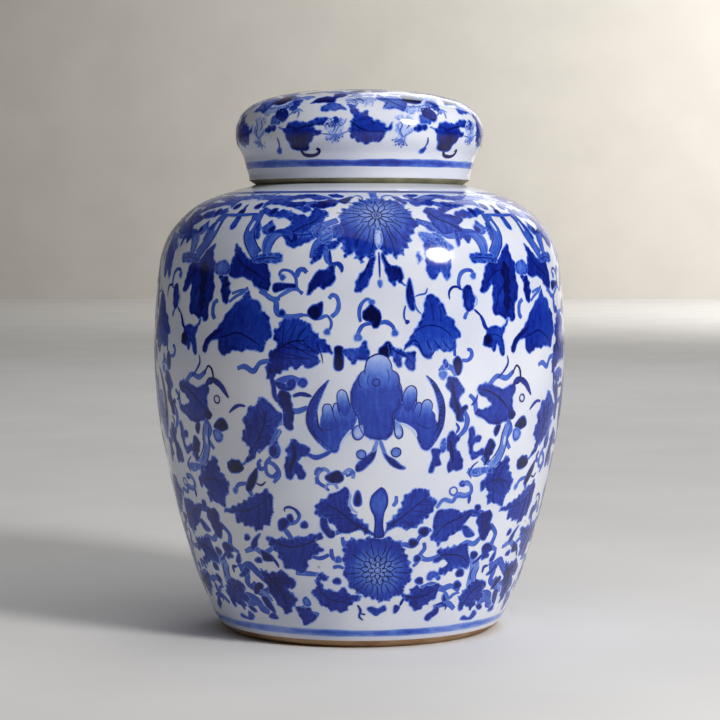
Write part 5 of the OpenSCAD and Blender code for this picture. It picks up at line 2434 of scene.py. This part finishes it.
class Links(Motif):
    """The stems and tendrils that tie the leaves together, under them."""

    name = "links"

    def low(self) -> list[Mark]:
        """Makes the stems about the lower lotus.

        Returns:
            The stems about the lower lotus.
        """
        return [
            vine("28.3 70.3, 31.7 74.2, 36.7 73.3, 39 76.7, 43.3 75.8, 46.7 77.5, 45.8 80.8, 41.7 81.7",
                    1.9, 0, 0.36),
            vine("46 67, 50 66.5, 54 66, 58 64", 3.0, 0, 0.55),
            vine("49.2 44, 50.3 38.3, 49.2 33.3, 48 29", 2.6, 0, 0.36),
            vine("-38 38, -34 38, -26.7 37.5, -23 36.5", 2.2), vine("-46 62, -43 59, -40 55", 2.2),
            vine("-70 37, -64 40, -58 36, -54 33", 3.2, 0, 0.52),
            vine("-62 31, -57 26, -52 28, -48 32", 3.2, 0, 0.52),
            vine("-67 24, -60 22, -56 17, -52 15", 3.2, 0, 0.5),
            vine("-66 47, -60 49, -55 47, -50 50", 2.4), vine("-34 21, -31 17, -26 16", 2.6),
            vine("22 30, 28 31.7, 33 29, 38 30, 43 27", 2.6), vine("29 19, 36.7 20.5, 41 17", 2.8),
            vine("-23 58, -19 59, -14 61", 2.0), vine("60 60, 64 55, 62 49, 66 46", 2.4),
            vine("62 40, 66 36, 64 30, 69 26", 2.8, 0, 0.5), vine("56 18, 62 20, 67 17", 3.0),
            vine("41 49, 45 52, 50 51, 54 54", 2.4), vine("20 48, 23 45, 27 45, 31 47", 2.0),
            vine("9 52, 13 53, 17 52, 21 57, 26 60", 2.0), vine("-31 47, -26 46, -22 48", 1.8),
            spot(-41, 65.5, 1.6, 2.2, 20), spot(59, 44, 1.8, 1.4), spot(-58, 43, 2.0, 1.4),
            spot(35, 24, 1.5, 2.2),
        ]

    def middle(self) -> list[Mark]:
        """Makes the stems about the bat.

        Returns:
            The stems about the bat.
        """
        return [
            vine("-28.3 82.5, -27.8 88, -25 90, -22.5 88.5", 1.7, 0, 0.36),
            vine("-16.5 87.5, -13.5 89.8, -11.5 88.5, -11.7 85.5", 1.7, 0, 0.36),
            stroke("-24.5 80.5, -22.8 83, -20 82.8, -18.5 80.5", 1.5, 0.34, (0.8, 0.8), Layer.WASH),
            vine("-53 93, -49 91, -46.7 87, -49.5 82.5", 2.0, 0, 0.42),
            vine("-58 97, -54 101, -50 103, -46 108", 2.4), vine("-60 84, -63 80, -61 75", 2.2),
            vine("52 94, 56 91, 61 91, 64 95", 2.4), vine("38 104, 42 108, 43 113, 40 118", 2.2),
            vine("44 88, 49 86, 55 87.5, 60 87.5", 2.6, 0, 0.42),
            vine("-69 136, -65 137, -60 135, -56.7 138.7, -52 140", 2.2),
            vine("-50 129, -46 131, -41 132, -36 131", 2.6, 0, 0.5),
            vine("28.3 135, 31 137.3, 34.5 136.5, 36.7 133", 2.4, 0, 0.42),
            vine("-44 118, -38 117, -33 119", 2.2), vine("55 128, 60 132, 66 131, 71 134", 2.2),
            vine("44 124, 47 121, 48 116, 52 113", 2.0), vine("67 112, 70 107, 67 102, 70 97", 2.6),
        ]

    def high(self) -> list[Mark]:
        """Makes the stems about the upper lotus.

        Returns:
            The stems about the upper lotus.
        """
        half: list[Mark] = [
            vine("41.7 200, 47 199.5, 51.7 194, 53.3 187.5", 3.4, 0, 0.46),
            stroke("42 201.8, 48 200.8, 53 194.5, 55 188", 0.5, Tone.FULL),
            stroke("41.5 198, 46 197.6, 50 192.8, 51.4 187.8", 0.5, Tone.FULL),
            vine("18 207, 25 203.7, 33 198.7, 42 198", 3.0),
            vine("27 220, 35 217, 41 218, 47 222", 3.6),
            vine("20 223, 24 226, 30 228, 36 226.5", 2.6, 0, 0.5),
            vine("48 210, 52 213, 57 212", 3.0, 0, 0.5),
            vine("10 226, 13 222.5, 17 221, 20 217", 2.2, 0, 0.5),
        ]
        patches = (
            ("22 224, 27 228, 34 229, 40 226, 36 223.5, 30 224, 26 221.5", 0.6),
            ("44 224, 49 228.5, 56 229, 61 225, 55 223, 49 221.5", 0.55),
            ("38 211, 43 214, 49 213, 53 216, 55 212, 49 209, 43 208.5", 0.62),
            ("14 226, 17 229.5, 21 228, 18 224.5", 0.7),
            ("56 205, 59 208, 62 205, 61 199, 58 196, 56 200", 0.6),
            ("30 214, 34 217.5, 40 219, 37 214.5, 33 212", 0.66),
        )
        half += [Wash(trace(outline), tone, layer=Layer.UNDER, ragged=0.6) for outline, tone in patches]
        return [
            *half, *mirrored(half), vine("-16.7 199, -23.3 197.8, -28.3 193.7, -30.8 187", 3.0, 0, 0.5),
            vine("-20 183, -24 187, -24 193", 2.0),
            vine("-56.7 172, -48.3 167, -47.5 162, -41.7 160.3, -35 161.2", 2.0),
            wash("-31 201, -27 205, -22 203, -17 204.5, -16 200, -20 197, -24 199, -28 196.5", 0.52,
                 layer=Layer.UNDER),
            wash("19 200, 23 198, 27 200, 32 196, 36 192, 33 190, 29 193, 24 193.5, 20 196", 0.4,
                 layer=Layer.UNDER),
        ]

    def marks(self) -> list[Mark]:
        """Returns every stem."""
        return [*self.low(), *self.middle(), *self.high()]


BODY_MOTIFS = (
    Links, Bat, Crest, BigLeaves, VineLoops, UpperLotus, ShoulderLeaves, RightVine, LeftVine, FanLeaves,
    LowerVine, LowerLotus,
)
COLUMN_MOTIFS = (StrapWork, HangingLeaves)
LID_MOTIFS = (LidLeaves, LidSprigs, LidShoulder, CrownLeaves, CrownRose)


# ---------------------------------------------------------------- bands


@dataclass
class Bands:
    """The rings drawn on the wheel: foot band, shoulder line and the lid's rim band.

    Args:
        body: the body's outer line.
        lid: the lid's outer line.
        finish: the bands' material.
        facets: points round a ring.
    """

    body: TurnedProfile
    lid: TurnedProfile
    finish: bpy.types.Material
    facets: int = 256

    def band(
        self, name: str, profile: TurnedProfile, low: float, high: float, tones: Path, wander: float,
        body: str
    ) -> bpy.types.Object:
        """Draws one ring.

        Args:
            name: the ring's name.
            profile: outer line of the piece that it is drawn on.
            low: distance along the line to the ring's lower edge.
            high: distance to its upper edge.
            tones: (share of the ring's width, cobalt) from the lower edge up.
            wander: how far the edges stray.
            body: name of the body that it rides on.

        Returns:
            The painted ring.
        """
        angles = np.arange(self.facets) * 2 * math.pi / self.facets
        shares = np.array([t[0] for t in tones])
        stray = np.sin(angles * 5 + low) + 0.7 * np.sin(angles * 13 + 2 * high) + 0.5 * np.sin(angles * 29)
        s = low + (high - low) * shares[:, None] + wander * 0.4 * stray * (2 * shares[:, None] - 0.6)
        fade = 1 + 0.14 * np.sin(angles * 3 + 1.1) + 0.10 * np.sin(angles * 11 + low)
        cobalt = np.array([t[1] for t in tones])[:, None] * fade
        points, normals = on_surface(profile, s, angles[None], float(Layer.WASH))
        n = self.facets
        faces = [(i * n + k, i * n + (k + 1) % n, (i + 1) * n + (k + 1) % n, (i + 1) * n + k)
                 for i in range(len(tones) - 1) for k in range(n)]
        flat = []
        for i in range(len(tones) - 1):
            for k in range(n):
                flat += [(k, s[i, k]), (k + 1, s[i, k]), (k + 1, s[i + 1, k]), (k, s[i + 1, k])]
        grain = np.array(flat) * (0.25, BRISTLE_SCALE)
        mesh = painted_mesh(name, points, faces, normals, np.clip(cobalt, 0, 1), grain, self.finish)
        return place_copy(name, mesh, body, 0.0)

    def build(self) -> list[bpy.types.Object]:
        """Makes every ring.

        Returns:
            Every ring.
        """
        edge = ((0, 0.2), (0.25, 0.8), (0.6, 0.84), (1, 0.3))
        foot = ((0, 0.16), (0.2, 0.34), (0.55, 0.42), (0.85, 0.34), (1, 0.12))
        rim = ((0, 0.35), (0.2, 0.5), (0.5, 0.62), (0.8, 0.5), (1, 0.25))
        low = self.lid.distance(227.6)
        return [
            self.band("shoulder_line", self.body, 231.2, 234.6, edge, 0.35, "jar"),
            self.band("foot_band", self.body, 4.0, 8.2, foot, 0.3, "jar"),
            self.band("lid_band", self.lid, low, low + 3.6, rim, 0.35, "lid"),
        ]


# ---------------------------------------------------------------- the jar


@dataclass
class GingerJar:
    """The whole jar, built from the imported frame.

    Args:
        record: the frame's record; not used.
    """

    record: dict

    def __post_init__(self) -> None:
        """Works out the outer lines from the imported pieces."""
        low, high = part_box("jar_body")
        cap_low, cap_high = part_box("lid")
        seat = cap_low[2] / MM
        self.seat = seat
        self.body_line = TurnedProfile(BODY_STATIONS, (high[0] - low[0]) / 2 / MM, seat)
        self.lid_line = TurnedProfile(
            LID_STATIONS, (cap_high[0] - cap_low[0]) / 2 / MM, cap_high[2] / MM - seat, seat, True
        )

    def build(self) -> list[bpy.types.Object]:
        """Builds the fired pieces and every painted piece.

        Returns:
            The pieces.
        """
        finishes = Finishes()
        pieces = [FiredBody(self.body_line, self.seat, finishes).build()]
        pieces.append(FiredLid(self.lid_line, self.seat, finishes).build())
        for kind in BODY_MOTIFS:
            pieces += kind(self.body_line, finishes.cobalt).build()
        for kind in COLUMN_MOTIFS:
            pieces += kind(self.body_line, finishes.cobalt, PANEL_TURN + 45.0).build()
        for kind in LID_MOTIFS:
            pieces += kind(
                self.lid_line, finishes.cobalt, LID_TURN, LID_REPEATS, "lid", 1.2, kind.on_crown
            ).build()
        pieces += Bands(self.body_line, self.lid_line, finishes.band).build()
        return pieces


def main() -> None:
    """Builds the jar and its studio."""
    logging.basicConfig(level=logging.INFO, format="%(name)s: %(message)s")
    low, high = cad_box
    for piece in GingerJar(frame["record"]).build():
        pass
    Studio((low + high) / 2).build()
    bpy.context.view_layer.update()


if __name__ == "__main__":
    main()
